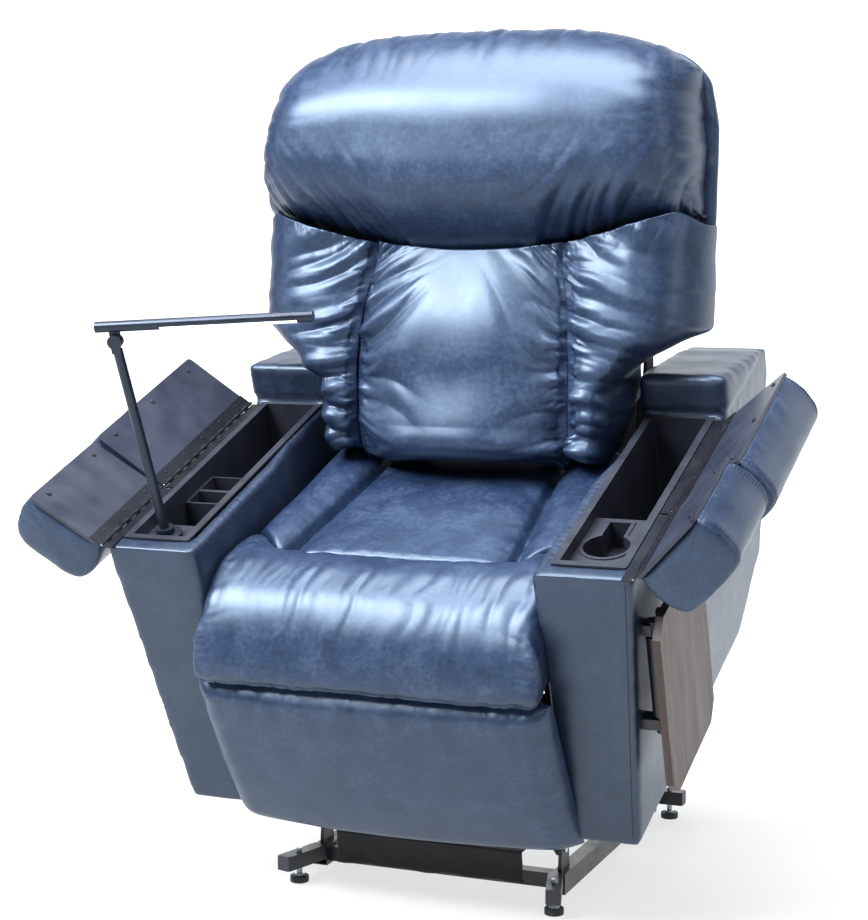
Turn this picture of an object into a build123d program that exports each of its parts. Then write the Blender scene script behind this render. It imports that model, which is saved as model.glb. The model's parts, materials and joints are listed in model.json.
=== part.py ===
"""Lift recliner chair: steel lift base, seat and arms, reclining back, footrest, storage arms,
folding lids, reading lamp and side table.

World frame: X to the right as seen from the front, the chair faces -Y, +Z up, floor at z = 0.
The chair stands in its raised position, tilted forward on the lift base, with the lids open.
The seat, arms, back and footrest are drawn in the chair's own level frame, which the planes
side_plane, top_plane and front_plane lay out at the raised tilt.
"""

import os
from math import atan2, cos, degrees, hypot, radians, sin, tan

from build123d import *

os.makedirs("parts", exist_ok=True)

SIDES = ((-1, "left"), (1, "right"))

# Raised position of the chair over its base
REST_TILT = 19.6
FEET_Y = -305.0
CHAIR_Y = FEET_Y - 105.4
CHAIR_Z = 135.8

# Base
TUBE = 25.0
TUBE_WALL = 2.0
TUBE_Z = 40.0
RAIL_X = 215.0
RAIL_HIGH = 35.0
RAIL_Z = 31.5
RAIL_FRONT = FEET_Y + 56.0
REAR_TUBE_Y = FEET_Y + 610.0
REAR_TUBE_REACH = 274.0
FRONT_FOOT_X = 228.0
REAR_FOOT_X = 249.0
SPLAY = 16.4
CAP_THICK = 3.0
FOOT_PAD_R = 16.0
FOOT_PAD_HIGH = 11.0
STUD_R = 5.0
FIT = 0.1
WELD_GAP = 0.2

# Lift linkage, as (y, z) in the base
LIFT_BASE_PIVOT = (FEET_Y + 378.0, 100.0)
STAY_BASE_PIVOT = (FEET_Y + 85.0, 85.0)
MOTOR_BASE_PIVOT = (FEET_Y + 560.0, 70.0)
# and as (y, z) in the chair
LIFT_CHAIR_PIVOT = (200.0, 55.0)
STAY_CHAIR_PIVOT = (56.0, 60.0)
MOTOR_CHAIR_PIVOT = (330.0, 110.0)
LIFT_ARM_X = 190.0
LIFT_ARM_THICK = 8.0
STAY_X = 205.0
STAY_THICK = 6.0
PLATE = 6.0
PIN_R = 6.0
STAY_PIN_R = 5.0
MOTOR_X = -70.0
MOTOR_CAN_SHIFT = 52.0
ROD_R = 10.0

# Chair frame, cushions and arms
FRAME_X = 262.0
FRAME_THICK = 8.0
CUSHION_HALF = 284.0
SEAT_TOP = 430.0
SEAT_BOTTOM = 332.0
ARM_INNER_TOP = 291.0
ARM_OUTER_TOP = 435.0
ARM_OUTER_BOTTOM = 393.0
ARM_TOP = 494.0
BLOCK_FRONT = 564.0
BLOCK_TOP = 564.0
TUB_X = 358.5
TUB_WIDE = 117.0
TUB_FRONT = 30.0
TUB_REAR = 563.0
TUB_RIM = 12.0
TUB_WALL = 3.0
TUB_FLOOR = 290.0
SHELF_Z = 475.0
CUP_Y = 130.0
CUP_R = 39.0

# Lids, hinged along the outer top edges of the arms
HINGE_X = 437.0
HINGE_Z = 498.0
LID_WIDE = 142.0
LID_THICK = 98.0
BOARD_THICK = 6.0
BOARD_CORNER_R = 8.0
BARREL_R = 3.0
LIDS = (
    (-1, "left_front", -5.0, 203.0, 35.5),
    (-1, "left_rear", 209.0, 548.0, 39.0),
    (1, "right_front", -5.0, 203.0, 48.0),
    (1, "right_rear", 209.0, 548.0, 41.5),
)

# Back
BACK_LEAN = 23.2
BACK_FOOT = (450.0, 455.0)
BACK_HALF = 404.0
RECLINE_PIVOT = (620.0, 300.0)
BOARD_FRONT = 97.0
BACK_BOARD = 15.0

# Footrest
FOOT_TOP = (-60.0, 283.0)
FOOT_LEAN = 12.9
FOOT_LONG = 313.0
FOOT_PAD_THICK = 40.0
FOOT_BOARD_THICK = 10.0
TORSION_PIVOT = (170.0, 230.0)
LINK_ELBOW = (150.0, 40.0)
FOOT_HINGE = (15.0, 240.0)
TORSION_R = 11.0
CRANK = 45.0
CRANK_ANGLE = -52.5
FOOT_MOTOR_X = 70.0
FOOT_MOTOR_Y = 560.0
FOOT_MOTOR_Z = 189.7

# Lamp
LAMP_X = -363.0
LAMP_Y = 70.0
LAMP_BASE_R = 27.0
POST_R = 7.75
KNUCKLE = (-365.0, 41.0, 829.0)
BAR_START = (-394.0, 40.0, 852.0)
BAR_END = (-57.0, 105.0, 850.0)
BAR_R = 8.5

# Side table
TABLE_POST = (440.0, 57.0)
TABLE_POST_R = 9.0
TABLE_INNER = 453.0
TABLE_THICK = 12.0
TABLE_HINGE = (448.0, 400.0)

tilt = radians(REST_TILT)
chair_rear = Vector(0, cos(tilt), sin(tilt))
chair_up = Vector(0, -sin(tilt), cos(tilt))
chair_origin = Vector(0, CHAIR_Y, CHAIR_Z)


def chair_point(x, y, z):
    """A point given in the chair's level frame, in the world."""
    return chair_origin + Vector(x, 0, 0) + chair_rear * y + chair_up * z


def side_plane(x):
    """Plane across the chair at x: sketch x is the chair's depth, sketch y its height."""
    return Plane(origin=chair_point(x, 0, 0), x_dir=chair_rear, z_dir=(1, 0, 0))


def top_plane(z):
    """Level plane of the chair at height z: sketch x to the right, sketch y to the rear."""
    return Plane(origin=chair_point(0, 0, z), x_dir=(1, 0, 0), z_dir=chair_up)


def front_plane(y):
    """Upright plane of the chair at depth y, looking forward: sketch y is the height."""
    return Plane(origin=chair_point(0, y, 0), x_dir=(1, 0, 0), z_dir=-chair_rear)


def base_side_plane(x):
    """Plane across the base at x: sketch x is the world's y, sketch y its z."""
    return Plane(origin=(x, 0, 0), x_dir=(0, 1, 0), z_dir=(1, 0, 0))


def low_x(side, inner, thick):
    """Lower x of a slab that starts |x| = inner on the given side."""
    return inner if side > 0 else -inner - thick


def save(name, piece):
    """Label a finished piece and write its STEP file."""
    piece.part.label = name
    export_step(piece.part, f"parts/{name}.step")


def in_world(point):
    """World (y, z) of a chair (y, z) point."""
    place = chair_point(0, *point)
    return place.Y, place.Z


def span(start, end):
    """Length and angle in degrees of the line between two (y, z) points."""
    run, rise = end[0] - start[0], end[1] - start[1]
    return hypot(run, rise), degrees(atan2(rise, run))


def link_plane(x, start, angle):
    """Plane across the world at x with its sketch x along a link that starts at (y, z)."""
    turn = radians(angle)
    return Plane(origin=(x, *start), x_dir=(0, cos(turn), sin(turn)), z_dir=(1, 0, 0))


def add_link(x, thick, start, end, wide, start_r, end_r):
    """A flat link with round ends and a hole at each pivot."""
    length, angle = span(start, end)
    with BuildSketch(link_plane(x, start, angle)) as profile:
        with Locations((length / 2, 0)):
            SlotCenterToCenter(length, wide)
        Circle(start_r, mode=Mode.SUBTRACT)
        with Locations((length, 0)):
            Circle(end_r, mode=Mode.SUBTRACT)
    extrude(profile.sketch, amount=thick)


def add_bolt(x_start, x_end, place, radius, head=3.5):
    """A pivot bolt along X at world (y, z), with a flat head and nut."""
    for plane_x, r, length in (
        (x_start, radius, x_end - x_start),
        (x_start - head, radius * 1.6, head),
        (x_end, radius * 1.6, head),
    ):
        with BuildSketch(base_side_plane(plane_x)) as profile:
            with Locations(place):
                Circle(r)
        extrude(profile.sketch, amount=length)


def add_outline(plane, points, amount):
    """A straight-sided slab from a closed outline."""
    with BuildSketch(plane) as profile:
        with BuildLine():
            Polyline(*points, close=True)
        make_face()
    extrude(profile.sketch, amount=amount)


def add_tube(plane, wide, high, length, wall=TUBE_WALL):
    """A rectangular tube along the plane's normal."""
    with BuildSketch(plane) as profile:
        Rectangle(wide, high)
        Rectangle(wide - 2 * wall, high - 2 * wall, mode=Mode.SUBTRACT)
    extrude(profile.sketch, amount=length)


# ---------------------------------------------------------------- base on the floor

rail_long = REAR_TUBE_Y - TUBE / 2 - WELD_GAP - RAIL_FRONT
with BuildPart() as base_rails:
    for side, _ in SIDES:
        plane = Plane(origin=(side * RAIL_X, RAIL_FRONT, RAIL_Z), x_dir=(1, 0, 0), z_dir=(0, 1, 0))
        add_tube(plane, TUBE, RAIL_HIGH, rail_long)
    cross_start = RAIL_X - TUBE / 2 - WELD_GAP
    plane = Plane(origin=(-cross_start, RAIL_FRONT + 25, RAIL_Z), x_dir=(0, 1, 0), z_dir=(1, 0, 0))
    add_tube(plane, TUBE, TUBE, 2 * cross_start)
save("base_rails", base_rails)

splay = radians(SPLAY)
outrigger_out = Vector(sin(splay), -cos(splay), 0)
outrigger_inner_x = FRONT_FOOT_X - (RAIL_FRONT - 4 - FEET_Y) * tan(splay)
outrigger_long = 88 / cos(splay)
with BuildPart() as base_outriggers:
    for side, _ in SIDES:
        inner = Vector(side * outrigger_inner_x, RAIL_FRONT - 4, TUBE_Z)
        out = Vector(side * outrigger_out.X, outrigger_out.Y, 0)
        add_tube(Plane(origin=inner, x_dir=(0, 0, 1), z_dir=out), TUBE, TUBE, outrigger_long)
        with BuildSketch(Plane.XY.offset(TUBE_Z - TUBE)):
            with Locations((side * FRONT_FOOT_X, FEET_Y)):
                Circle(STUD_R + FIT)
        extrude(amount=2 * TUBE, mode=Mode.SUBTRACT)
    rear_start = Plane(
        origin=(-REAR_TUBE_REACH, REAR_TUBE_Y, TUBE_Z), x_dir=(0, 1, 0), z_dir=(1, 0, 0)
    )
    add_tube(rear_start, TUBE, TUBE, 2 * REAR_TUBE_REACH)
    with BuildSketch(Plane.XY.offset(TUBE_Z - TUBE)):
        with Locations(*[(side * REAR_FOOT_X, REAR_TUBE_Y) for side, _ in SIDES]):
            Circle(STUD_R + FIT)
    extrude(amount=2 * TUBE, mode=Mode.SUBTRACT)
save("base_outriggers", base_outriggers)

with BuildPart() as base_end_caps:
    for side, _ in SIDES:
        out = Vector(side * outrigger_out.X, outrigger_out.Y, 0)
        tip = Vector(side * outrigger_inner_x, RAIL_FRONT - 4, TUBE_Z) + out * outrigger_long
        for origin, facing in (
            (tip, out),
            (Vector(side * REAR_TUBE_REACH, REAR_TUBE_Y, TUBE_Z), Vector(side, 0, 0)),
        ):
            with BuildSketch(Plane(origin=origin, x_dir=(0, 0, 1), z_dir=facing)):
                RectangleRounded(TUBE, TUBE, 2)
            extrude(amount=CAP_THICK)
save("base_end_caps", base_end_caps)

rail_top = RAIL_Z + RAIL_HIGH / 2
with BuildPart() as base_brackets:
    for side, _ in SIDES:
        for inner, (y, z) in ((202.5, LIFT_BASE_PIVOT), (212.5, STAY_BASE_PIVOT)):
            outline = [(y - 22, rail_top), (y + 22, rail_top), (y + 16, z + 16), (y - 16, z + 16)]
            radius = PIN_R if inner < 210 else STAY_PIN_R
            add_outline(base_side_plane(low_x(side, inner, PLATE)), outline, PLATE)
            with BuildSketch(base_side_plane(low_x(side, inner, PLATE))):
                with Locations((y, z)):
                    Circle(radius)
            extrude(amount=PLATE, mode=Mode.SUBTRACT)
    y, z = MOTOR_BASE_PIVOT
    back_edge = REAR_TUBE_Y - TUBE / 2
    for start in (MOTOR_X - 14 - PLATE, MOTOR_X + 14):
        outline = [(y - 16, z + 16), (y - 16, z - 12), (y, TUBE_Z - 12), (back_edge, TUBE_Z - 12)]
        outline += [(back_edge, TUBE_Z + 12), (y + 14, z + 16)]
        add_outline(base_side_plane(start), outline, PLATE)
        with BuildSketch(base_side_plane(start)):
            with Locations((y, z)):
                Circle(PIN_R)
        extrude(amount=PLATE, mode=Mode.SUBTRACT)
save("base_brackets", base_brackets)

with BuildPart() as base_pivot_bolts:
    for side, _ in SIDES:
        arm_low = low_x(side, LIFT_ARM_X - 2, 21)
        stay_low = low_x(side, STAY_X - 1.5, 15.5)
        add_bolt(arm_low, arm_low + 21, LIFT_BASE_PIVOT, PIN_R)
        add_bolt(stay_low, stay_low + 15.5, STAY_BASE_PIVOT, STAY_PIN_R, 1.5)
    add_bolt(MOTOR_X - 21, MOTOR_X + 21, MOTOR_BASE_PIVOT, PIN_R)
save("base_pivot_bolts", base_pivot_bolts)

DUST_HALF = 168.0
dust_front = FEET_Y + 16
with BuildPart() as base_dust_cover:
    outline = [(dust_front, 92), (dust_front + 3, 40), (dust_front + 12, 29), (dust_front + 18, 31)]
    outline += [(dust_front + 9, 44), (dust_front + 6, 88), (FEET_Y + 62, 88), (FEET_Y + 62, 92)]
    add_outline(base_side_plane(-DUST_HALF), outline, 2 * DUST_HALF)
save("base_dust_cover", base_dust_cover)

for side, name in SIDES:
    for x, y, place in ((FRONT_FOOT_X, FEET_Y, "front"), (REAR_FOOT_X, REAR_TUBE_Y, "rear")):
        with BuildPart() as foot:
            with BuildSketch(Plane.XY):
                with Locations((side * x, y)):
                    Circle(FOOT_PAD_R)
            extrude(amount=FOOT_PAD_HIGH)
            fillet(foot.edges().filter_by(GeomType.CIRCLE), 1.5)
            for low, high, radius in (
                (FOOT_PAD_HIGH, TUBE_Z + TUBE / 2 + 6, STUD_R),
                (FOOT_PAD_HIGH, FOOT_PAD_HIGH + 4, 9.0),
            ):
                with BuildSketch(Plane.XY.offset(low)):
                    with Locations((side * x, y)):
                        Circle(radius)
                extrude(amount=high - low)
        save(f"foot_{place}_{name}", foot)

# ---------------------------------------------------------------- lift linkage

lift_top = in_world(LIFT_CHAIR_PIVOT)
stay_top = in_world(STAY_CHAIR_PIVOT)
motor_top = in_world(MOTOR_CHAIR_PIVOT)
lift_long, lift_angle = span(LIFT_BASE_PIVOT, lift_top)
motor_long, motor_angle = span(MOTOR_BASE_PIVOT, motor_top)

with BuildPart() as lift_arms:
    for side, _ in SIDES:
        x = low_x(side, LIFT_ARM_X, LIFT_ARM_THICK)
        add_link(x, LIFT_ARM_THICK, LIFT_BASE_PIVOT, lift_top, 30, PIN_R + FIT, PIN_R + FIT)
save("lift_arms", lift_arms)

TORSION_AT = 258.0
with BuildPart() as lift_torsion_tube:
    with BuildSketch(link_plane(-LIFT_ARM_X, LIFT_BASE_PIVOT, lift_angle)):
        with Locations((TORSION_AT, 0)):
            Circle(12.5)
            Circle(10.5, mode=Mode.SUBTRACT)
    extrude(amount=2 * LIFT_ARM_X)
save("lift_torsion_tube", lift_torsion_tube)

with BuildPart() as stay_links:
    for side, _ in SIDES:
        x = low_x(side, STAY_X, STAY_THICK)
        add_link(x, STAY_THICK, STAY_BASE_PIVOT, stay_top, 28, STAY_PIN_R + FIT, 10)
save("stay_links", stay_links)


def motor_plane(origin, along):
    """Plane across a motor's axis, with its sketch x to the right."""
    return Plane(origin=origin, x_dir=(1, 0, 0), z_dir=along)


def add_motor(pivot, along, can_shift, tube_end):
    """Gearbox, motor can and outer tube of a linear actuator, from its rear pivot."""
    lug_start = motor_plane(pivot - along * 14, along)
    with BuildSketch(lug_start) as profile:
        Rectangle(24, 24)
    extrude(profile.sketch, amount=46)
    with BuildSketch(motor_plane(pivot + along * 30, along)) as profile:
        with Locations((can_shift / 2, 0)):
            RectangleRounded(abs(can_shift) + 56, 56, 12)
    extrude(profile.sketch, amount=58)
    with BuildSketch(motor_plane(pivot + along * 88, along)) as profile:
        with Locations((can_shift, 0)):
            Circle(26)
    extrude(profile.sketch, amount=130)
    with BuildSketch(motor_plane(pivot + along * 88, along)) as profile:
        Circle(22)
    extrude(profile.sketch, amount=tube_end - 88)
    with BuildSketch(motor_plane(pivot + along * 95, along)) as profile:
        Circle(ROD_R + FIT)
    extrude(profile.sketch, amount=tube_end - 94, mode=Mode.SUBTRACT)
    with BuildSketch(Plane(origin=pivot - Vector(12, 0, 0), x_dir=(0, 1, 0), z_dir=(1, 0, 0))) as profile:
        Circle(PIN_R + FIT)
    extrude(profile.sketch, amount=24, mode=Mode.SUBTRACT)


def add_rod(eye, along, length, ring_r, hole_r):
    """Push rod of an actuator with a wide eye at its end."""
    with BuildSketch(motor_plane(eye - along * length, along)) as profile:
        Circle(ROD_R)
    extrude(profile.sketch, amount=length - ring_r + 4)
    ring = Plane(origin=eye - Vector(11, 0, 0), x_dir=(0, 1, 0), z_dir=(1, 0, 0))
    with BuildSketch(ring) as profile:
        Circle(ring_r)
    extrude(profile.sketch, amount=22)
    with BuildSketch(ring) as profile:
        Circle(hole_r)
    extrude(profile.sketch, amount=22, mode=Mode.SUBTRACT)


motor_turn = radians(motor_angle)
lift_along = Vector(0, cos(motor_turn), sin(motor_turn))
lift_pivot = Vector(MOTOR_X, *MOTOR_BASE_PIVOT)
with BuildPart() as lift_motor:
    add_motor(lift_pivot, lift_along, -MOTOR_CAN_SHIFT, 338)
save("lift_motor", lift_motor)

with BuildPart() as lift_rod:
    add_rod(lift_pivot + lift_along * motor_long, lift_along, 225, 22, 14)
save("lift_rod", lift_rod)

# ---------------------------------------------------------------- seat frame

RAILS_Z = 132.5
HANGER_X = 214.0
RAIL_UNDER = RAILS_Z - TUBE / 2 - WELD_GAP
HANGER_LOW = RAILS_Z + TUBE / 2 + WELD_GAP
CROSS_RAILS_Y = (212.5, 378.5, 602.5)
SHELF_THICK = 3.0
SHELF_REAR = 696.0
BOX_X = -40.0
BOX_WIDE = 110.0
BOX_LOW = HANGER_LOW + SHELF_THICK + FIT
with BuildPart() as seat_side_frames:
    for side, _ in SIDES:
        outline = [(44, 180), (110, 118), (640, 118), (650, 325), (44, 325)]
        plane = side_plane(low_x(side, FRAME_X, FRAME_THICK))
        add_outline(plane, outline, FRAME_THICK)
        for place, radius in ((TORSION_PIVOT, TORSION_R + FIT), (RECLINE_PIVOT, PIN_R)):
            with BuildSketch(plane):
                with Locations(place):
                    Circle(radius)
            extrude(amount=FRAME_THICK, mode=Mode.SUBTRACT)
save("seat_side_frames", seat_side_frames)

with BuildPart() as seat_cross_rails:
    for y in CROSS_RAILS_Y:
        origin = chair_point(-FRAME_X, y, RAILS_Z)
        add_tube(Plane(origin=origin, x_dir=chair_rear, z_dir=(1, 0, 0)), TUBE, TUBE, 2 * FRAME_X)
    for side, _ in SIDES:
        outline = [(40, 45), (74, 45), (78, 145), (81, HANGER_LOW), (640, HANGER_LOW), (640, 172)]
        outline += [(60, 172), (40, 150)]
        plane = side_plane(low_x(side, HANGER_X, PLATE))
        add_outline(plane, outline, PLATE)
        with BuildSketch(plane):
            with Locations(STAY_CHAIR_PIVOT):
                Circle(STAY_PIN_R)
        extrude(amount=PLATE, mode=Mode.SUBTRACT)
        plane = side_plane(low_x(side, 180, PLATE))
        outline = [(184, RAIL_UNDER), (184, 50), (192, 38), (208, 38), (216, 50), (222, RAIL_UNDER)]
        add_outline(plane, outline, PLATE)
        with BuildSketch(plane):
            with Locations(LIFT_CHAIR_PIVOT):
                Circle(PIN_R)
        extrude(amount=PLATE, mode=Mode.SUBTRACT)
    for start in (MOTOR_X - 13 - PLATE, MOTOR_X + 13):
        plane = side_plane(start)
        add_outline(plane, [(316, 98), (342, 94), (365.8, 121), (365.8, 144), (316, 132)], PLATE)
        with BuildSketch(plane):
            with Locations(MOTOR_CHAIR_PIVOT):
                Circle(STAY_PIN_R)
        extrude(amount=PLATE, mode=Mode.SUBTRACT)
    for start in (FOOT_MOTOR_X - 14 - PLATE, FOOT_MOTOR_X + 14):
        plane = side_plane(start)
        y, z = FOOT_MOTOR_Y, FOOT_MOTOR_Z
        outline = [(y - 14, z + 14), (y - 14, z - 14), (592, HANGER_LOW), (613, HANGER_LOW)]
        outline += [(y + 18, z + 14)]
        add_outline(plane, outline, PLATE)
        with BuildSketch(plane):
            with Locations((y, z)):
                Circle(PIN_R)
        extrude(amount=PLATE, mode=Mode.SUBTRACT)
    shelf_front = CROSS_RAILS_Y[-1] - TUBE / 2
    with BuildSketch(top_plane(HANGER_LOW)):
        with Locations((BOX_X, (shelf_front + SHELF_REAR) / 2)):
            Rectangle(BOX_WIDE - 10, SHELF_REAR - shelf_front)
    extrude(amount=SHELF_THICK)
save("seat_cross_rails", seat_cross_rails)

with BuildPart() as seat_pivot_bolts:
    for side, _ in SIDES:
        low = low_x(side, 179.5, 20)
        add_bolt(low, low + 20, lift_top, PIN_R)
        low = low_x(side, STAY_X - 1.5, 17)
        add_bolt(low, low + 17, stay_top, STAY_PIN_R, 1.5)
        low = low_x(side, FRAME_X - 1, 19.5)
        add_bolt(low, low + 19.5, in_world(RECLINE_PIVOT), PIN_R, 3)
    add_bolt(MOTOR_X - 20, MOTOR_X + 20, motor_top, STAY_PIN_R)
    foot_motor_pivot = in_world((FOOT_MOTOR_Y, FOOT_MOTOR_Z))
    add_bolt(FOOT_MOTOR_X - 21, FOOT_MOTOR_X + 21, foot_motor_pivot, PIN_R)
save("seat_pivot_bolts", seat_pivot_bolts)

with BuildPart() as seat_deck:
    with BuildSketch(top_plane(318)):
        with Locations((0, 335)):
            Rectangle(2 * FRAME_X - 4, 520)
    extrude(amount=10)
save("seat_deck", seat_deck)

BOX_FRONT, BOX_REAR = 640.0, 726.0
INLET_Y = 712.0
INLET_R = 4.0
INLET_DEEP = 14.0
with BuildPart() as control_box:
    with BuildSketch(top_plane(BOX_LOW)):
        with Locations((BOX_X, (BOX_FRONT + BOX_REAR) / 2)):
            RectangleRounded(BOX_WIDE, BOX_REAR - BOX_FRONT, 6)
    extrude(amount=42)
    with BuildSketch(top_plane(BOX_LOW)):
        with Locations((BOX_X, INLET_Y)):
            Circle(INLET_R)
    extrude(amount=INLET_DEEP, mode=Mode.SUBTRACT)
save("control_box", control_box)

foot_pivot = chair_point(FOOT_MOTOR_X, FOOT_MOTOR_Y, FOOT_MOTOR_Z)
with BuildPart() as footrest_motor:
    add_motor(foot_pivot, -chair_rear, MOTOR_CAN_SHIFT, 300)
save("footrest_motor", footrest_motor)

crank_turn = radians(CRANK_ANGLE)
crank_tip = (
    TORSION_PIVOT[0] + CRANK * cos(crank_turn),
    TORSION_PIVOT[1] + CRANK * sin(crank_turn),
)
with BuildPart() as footrest_rod:
    eye = chair_point(FOOT_MOTOR_X, crank_tip[0], FOOT_MOTOR_Z)
    add_rod(eye, -chair_rear, 190, 18, 11)
save("footrest_rod", footrest_rod)

# ---------------------------------------------------------------- arms, tubs and what they hold

ARM_PROFILE = [
    (35, 0),
    (0, ARM_TOP),
    (BLOCK_FRONT, ARM_TOP),
    (BLOCK_FRONT, BLOCK_TOP),
    (796, 511),
    (862, 496),
    (880, 450),
    (860, 90),
    (700, 0),
]
TUB_MID_Y = (TUB_FRONT + TUB_REAR) / 2
TUB_LONG = TUB_REAR - TUB_FRONT
TUB_OPEN_WIDE = TUB_WIDE - 2 * TUB_RIM
WELL_FRONT = {"left": 118.0, "right": 222.0}


def outer_face(side):
    """The arm's outer side, which leans out towards the top."""
    bottom = chair_point(side * ARM_OUTER_BOTTOM, 0, 0)
    lean = chair_point(side * ARM_OUTER_TOP, 0, ARM_TOP) - bottom
    return Plane(origin=bottom, x_dir=chair_rear, z_dir=lean.cross(chair_rear) * -side)


def tub_box(side, wide, y_start, y_end, z_start, z_end, mode):
    """An upright box centred across the tub."""
    with BuildSketch(top_plane(z_start)) as profile:
        with Locations((side * TUB_X, (y_start + y_end) / 2)):
            RectangleRounded(wide, y_end - y_start, 4)
    extrude(profile.sketch, amount=z_end - z_start, mode=mode)


for side, name in SIDES:
    with BuildPart() as arm:
        thick = ARM_OUTER_TOP - ARM_INNER_TOP + 1
        add_outline(side_plane(low_x(side, ARM_INNER_TOP, thick)), ARM_PROFILE, thick)
        keep = Keep.BOTTOM if side * outer_face(side).z_dir.X > 0 else Keep.TOP
        split(bisect_by=outer_face(side), keep=keep)
        tub_box(side, TUB_WIDE - 16, 37, 556, TUB_FLOOR - 4, BLOCK_TOP + 9, Mode.SUBTRACT)
    save(f"arm_{name}", arm)

    well_front = WELL_FRONT[name]
    inner_front, inner_rear = TUB_FRONT + TUB_RIM, TUB_REAR - TUB_RIM
    with BuildPart() as tub:
        tub_box(side, TUB_WIDE, TUB_FRONT, TUB_REAR, ARM_TOP, ARM_TOP + 3, Mode.ADD)
        outer_wide = TUB_OPEN_WIDE + 2 * TUB_WALL
        tub_box(side, outer_wide, inner_front - TUB_WALL, inner_rear + TUB_WALL,
                TUB_FLOOR, ARM_TOP, Mode.ADD)
        tub_box(side, TUB_OPEN_WIDE, inner_front, inner_rear, SHELF_Z, ARM_TOP + 4, Mode.SUBTRACT)
        tub_box(side, TUB_OPEN_WIDE, well_front, inner_rear,
                TUB_FLOOR + TUB_WALL, SHELF_Z + 1, Mode.SUBTRACT)
        tub_box(side, outer_wide + 8, inner_front - 8, well_front - TUB_WALL,
                TUB_FLOOR - 1, SHELF_Z - TUB_WALL, Mode.SUBTRACT)
        if name == "right":
            with BuildSketch(top_plane(SHELF_Z - 10)):
                with Locations((TUB_X - 3, CUP_Y)):
                    Circle(CUP_R + 0.3)
                with Locations((TUB_X - 3, CUP_Y + 55)):
                    Rectangle(40.6, 50.6)
            extrude(amount=20, mode=Mode.SUBTRACT)
    save(f"tub_{name}", tub)

CUP_DEEP = 66.0
with BuildPart() as cup_holder:
    with BuildSketch(top_plane(SHELF_Z - CUP_DEEP)):
        with Locations((TUB_X - 3, CUP_Y)):
            Circle(CUP_R)
        with Locations((TUB_X - 3, CUP_Y + 55)):
            Rectangle(40, 50)
    extrude(amount=CUP_DEEP)
    with BuildSketch(top_plane(SHELF_Z)):
        with Locations((TUB_X - 3, CUP_Y)):
            Circle(CUP_R + 3)
        with Locations((TUB_X - 3, CUP_Y + 55)):
            Rectangle(46, 56)
    extrude(amount=2)
    with BuildSketch(top_plane(SHELF_Z - CUP_DEEP + 3)):
        with Locations((TUB_X - 3, CUP_Y)):
            Circle(CUP_R - 3)
    extrude(amount=CUP_DEEP, mode=Mode.SUBTRACT)
    with BuildSketch(top_plane(SHELF_Z - CUP_DEEP + 24)):
        with Locations((TUB_X - 3, CUP_Y + 50)):
            Rectangle(34, 54)
    extrude(amount=CUP_DEEP, mode=Mode.SUBTRACT)
save("cup_holder", cup_holder)

TRAY_Y = 262.0
with BuildPart() as divider_tray:
    tub_box(-1, TUB_OPEN_WIDE - 1, TRAY_Y - 50, TRAY_Y + 50, SHELF_Z - 62, SHELF_Z - 8, Mode.ADD)
    for offset, long in ((-26, 40), (24, 46)):
        tub_box(-1, TUB_OPEN_WIDE - 9, TRAY_Y + offset - long / 2, TRAY_Y + offset + long / 2,
                SHELF_Z - 59, SHELF_Z, Mode.SUBTRACT)
save("divider_tray", divider_tray)

with BuildPart() as lamp_base:
    with BuildSketch(top_plane(SHELF_Z)):
        with Locations((LAMP_X, LAMP_Y)):
            Circle(LAMP_BASE_R)
    extrude(amount=12)
    fillet(lamp_base.edges().filter_by(GeomType.CIRCLE).group_by(SortBy.DISTANCE)[-1], 1.0)
save("lamp_base", lamp_base)

# ---------------------------------------------------------------- lids

LEAF_WIDE = 20.0
LEAF_START = 3.4
KNUCKLE_LONG = 16.0


def lid_plane(side, start, end, angle):
    """Lid section plane: sketch x runs from hinge to free edge, sketch y through the pad."""
    turn = radians(angle)
    along = Vector(side * cos(turn), 0, 0) + chair_up * sin(turn)
    facing = chair_rear * side
    origin = chair_point(side * HINGE_X, start if side > 0 else end, HINGE_Z)
    return Plane(origin=origin, x_dir=along, z_dir=facing)


def add_knuckles(side, start, end, angle, first, tab_low, tab_long):
    """Every second knuckle of a piano hinge, each with the tab that joins it to its leaf."""
    count = int((end - start) // KNUCKLE_LONG)
    pitch = (end - start) / count
    for index in range(first, count, 2):
        low = start + index * pitch + 0.2
        with BuildSketch(lid_plane(side, low, low + pitch - 0.4, angle)) as profile:
            Circle(BARREL_R)
            with Locations((tab_long / 2, tab_low + 0.5)):
                Rectangle(tab_long, 1)
            Circle(1.5 + FIT, mode=Mode.SUBTRACT)
        extrude(profile.sketch, amount=pitch - 0.4)


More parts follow.
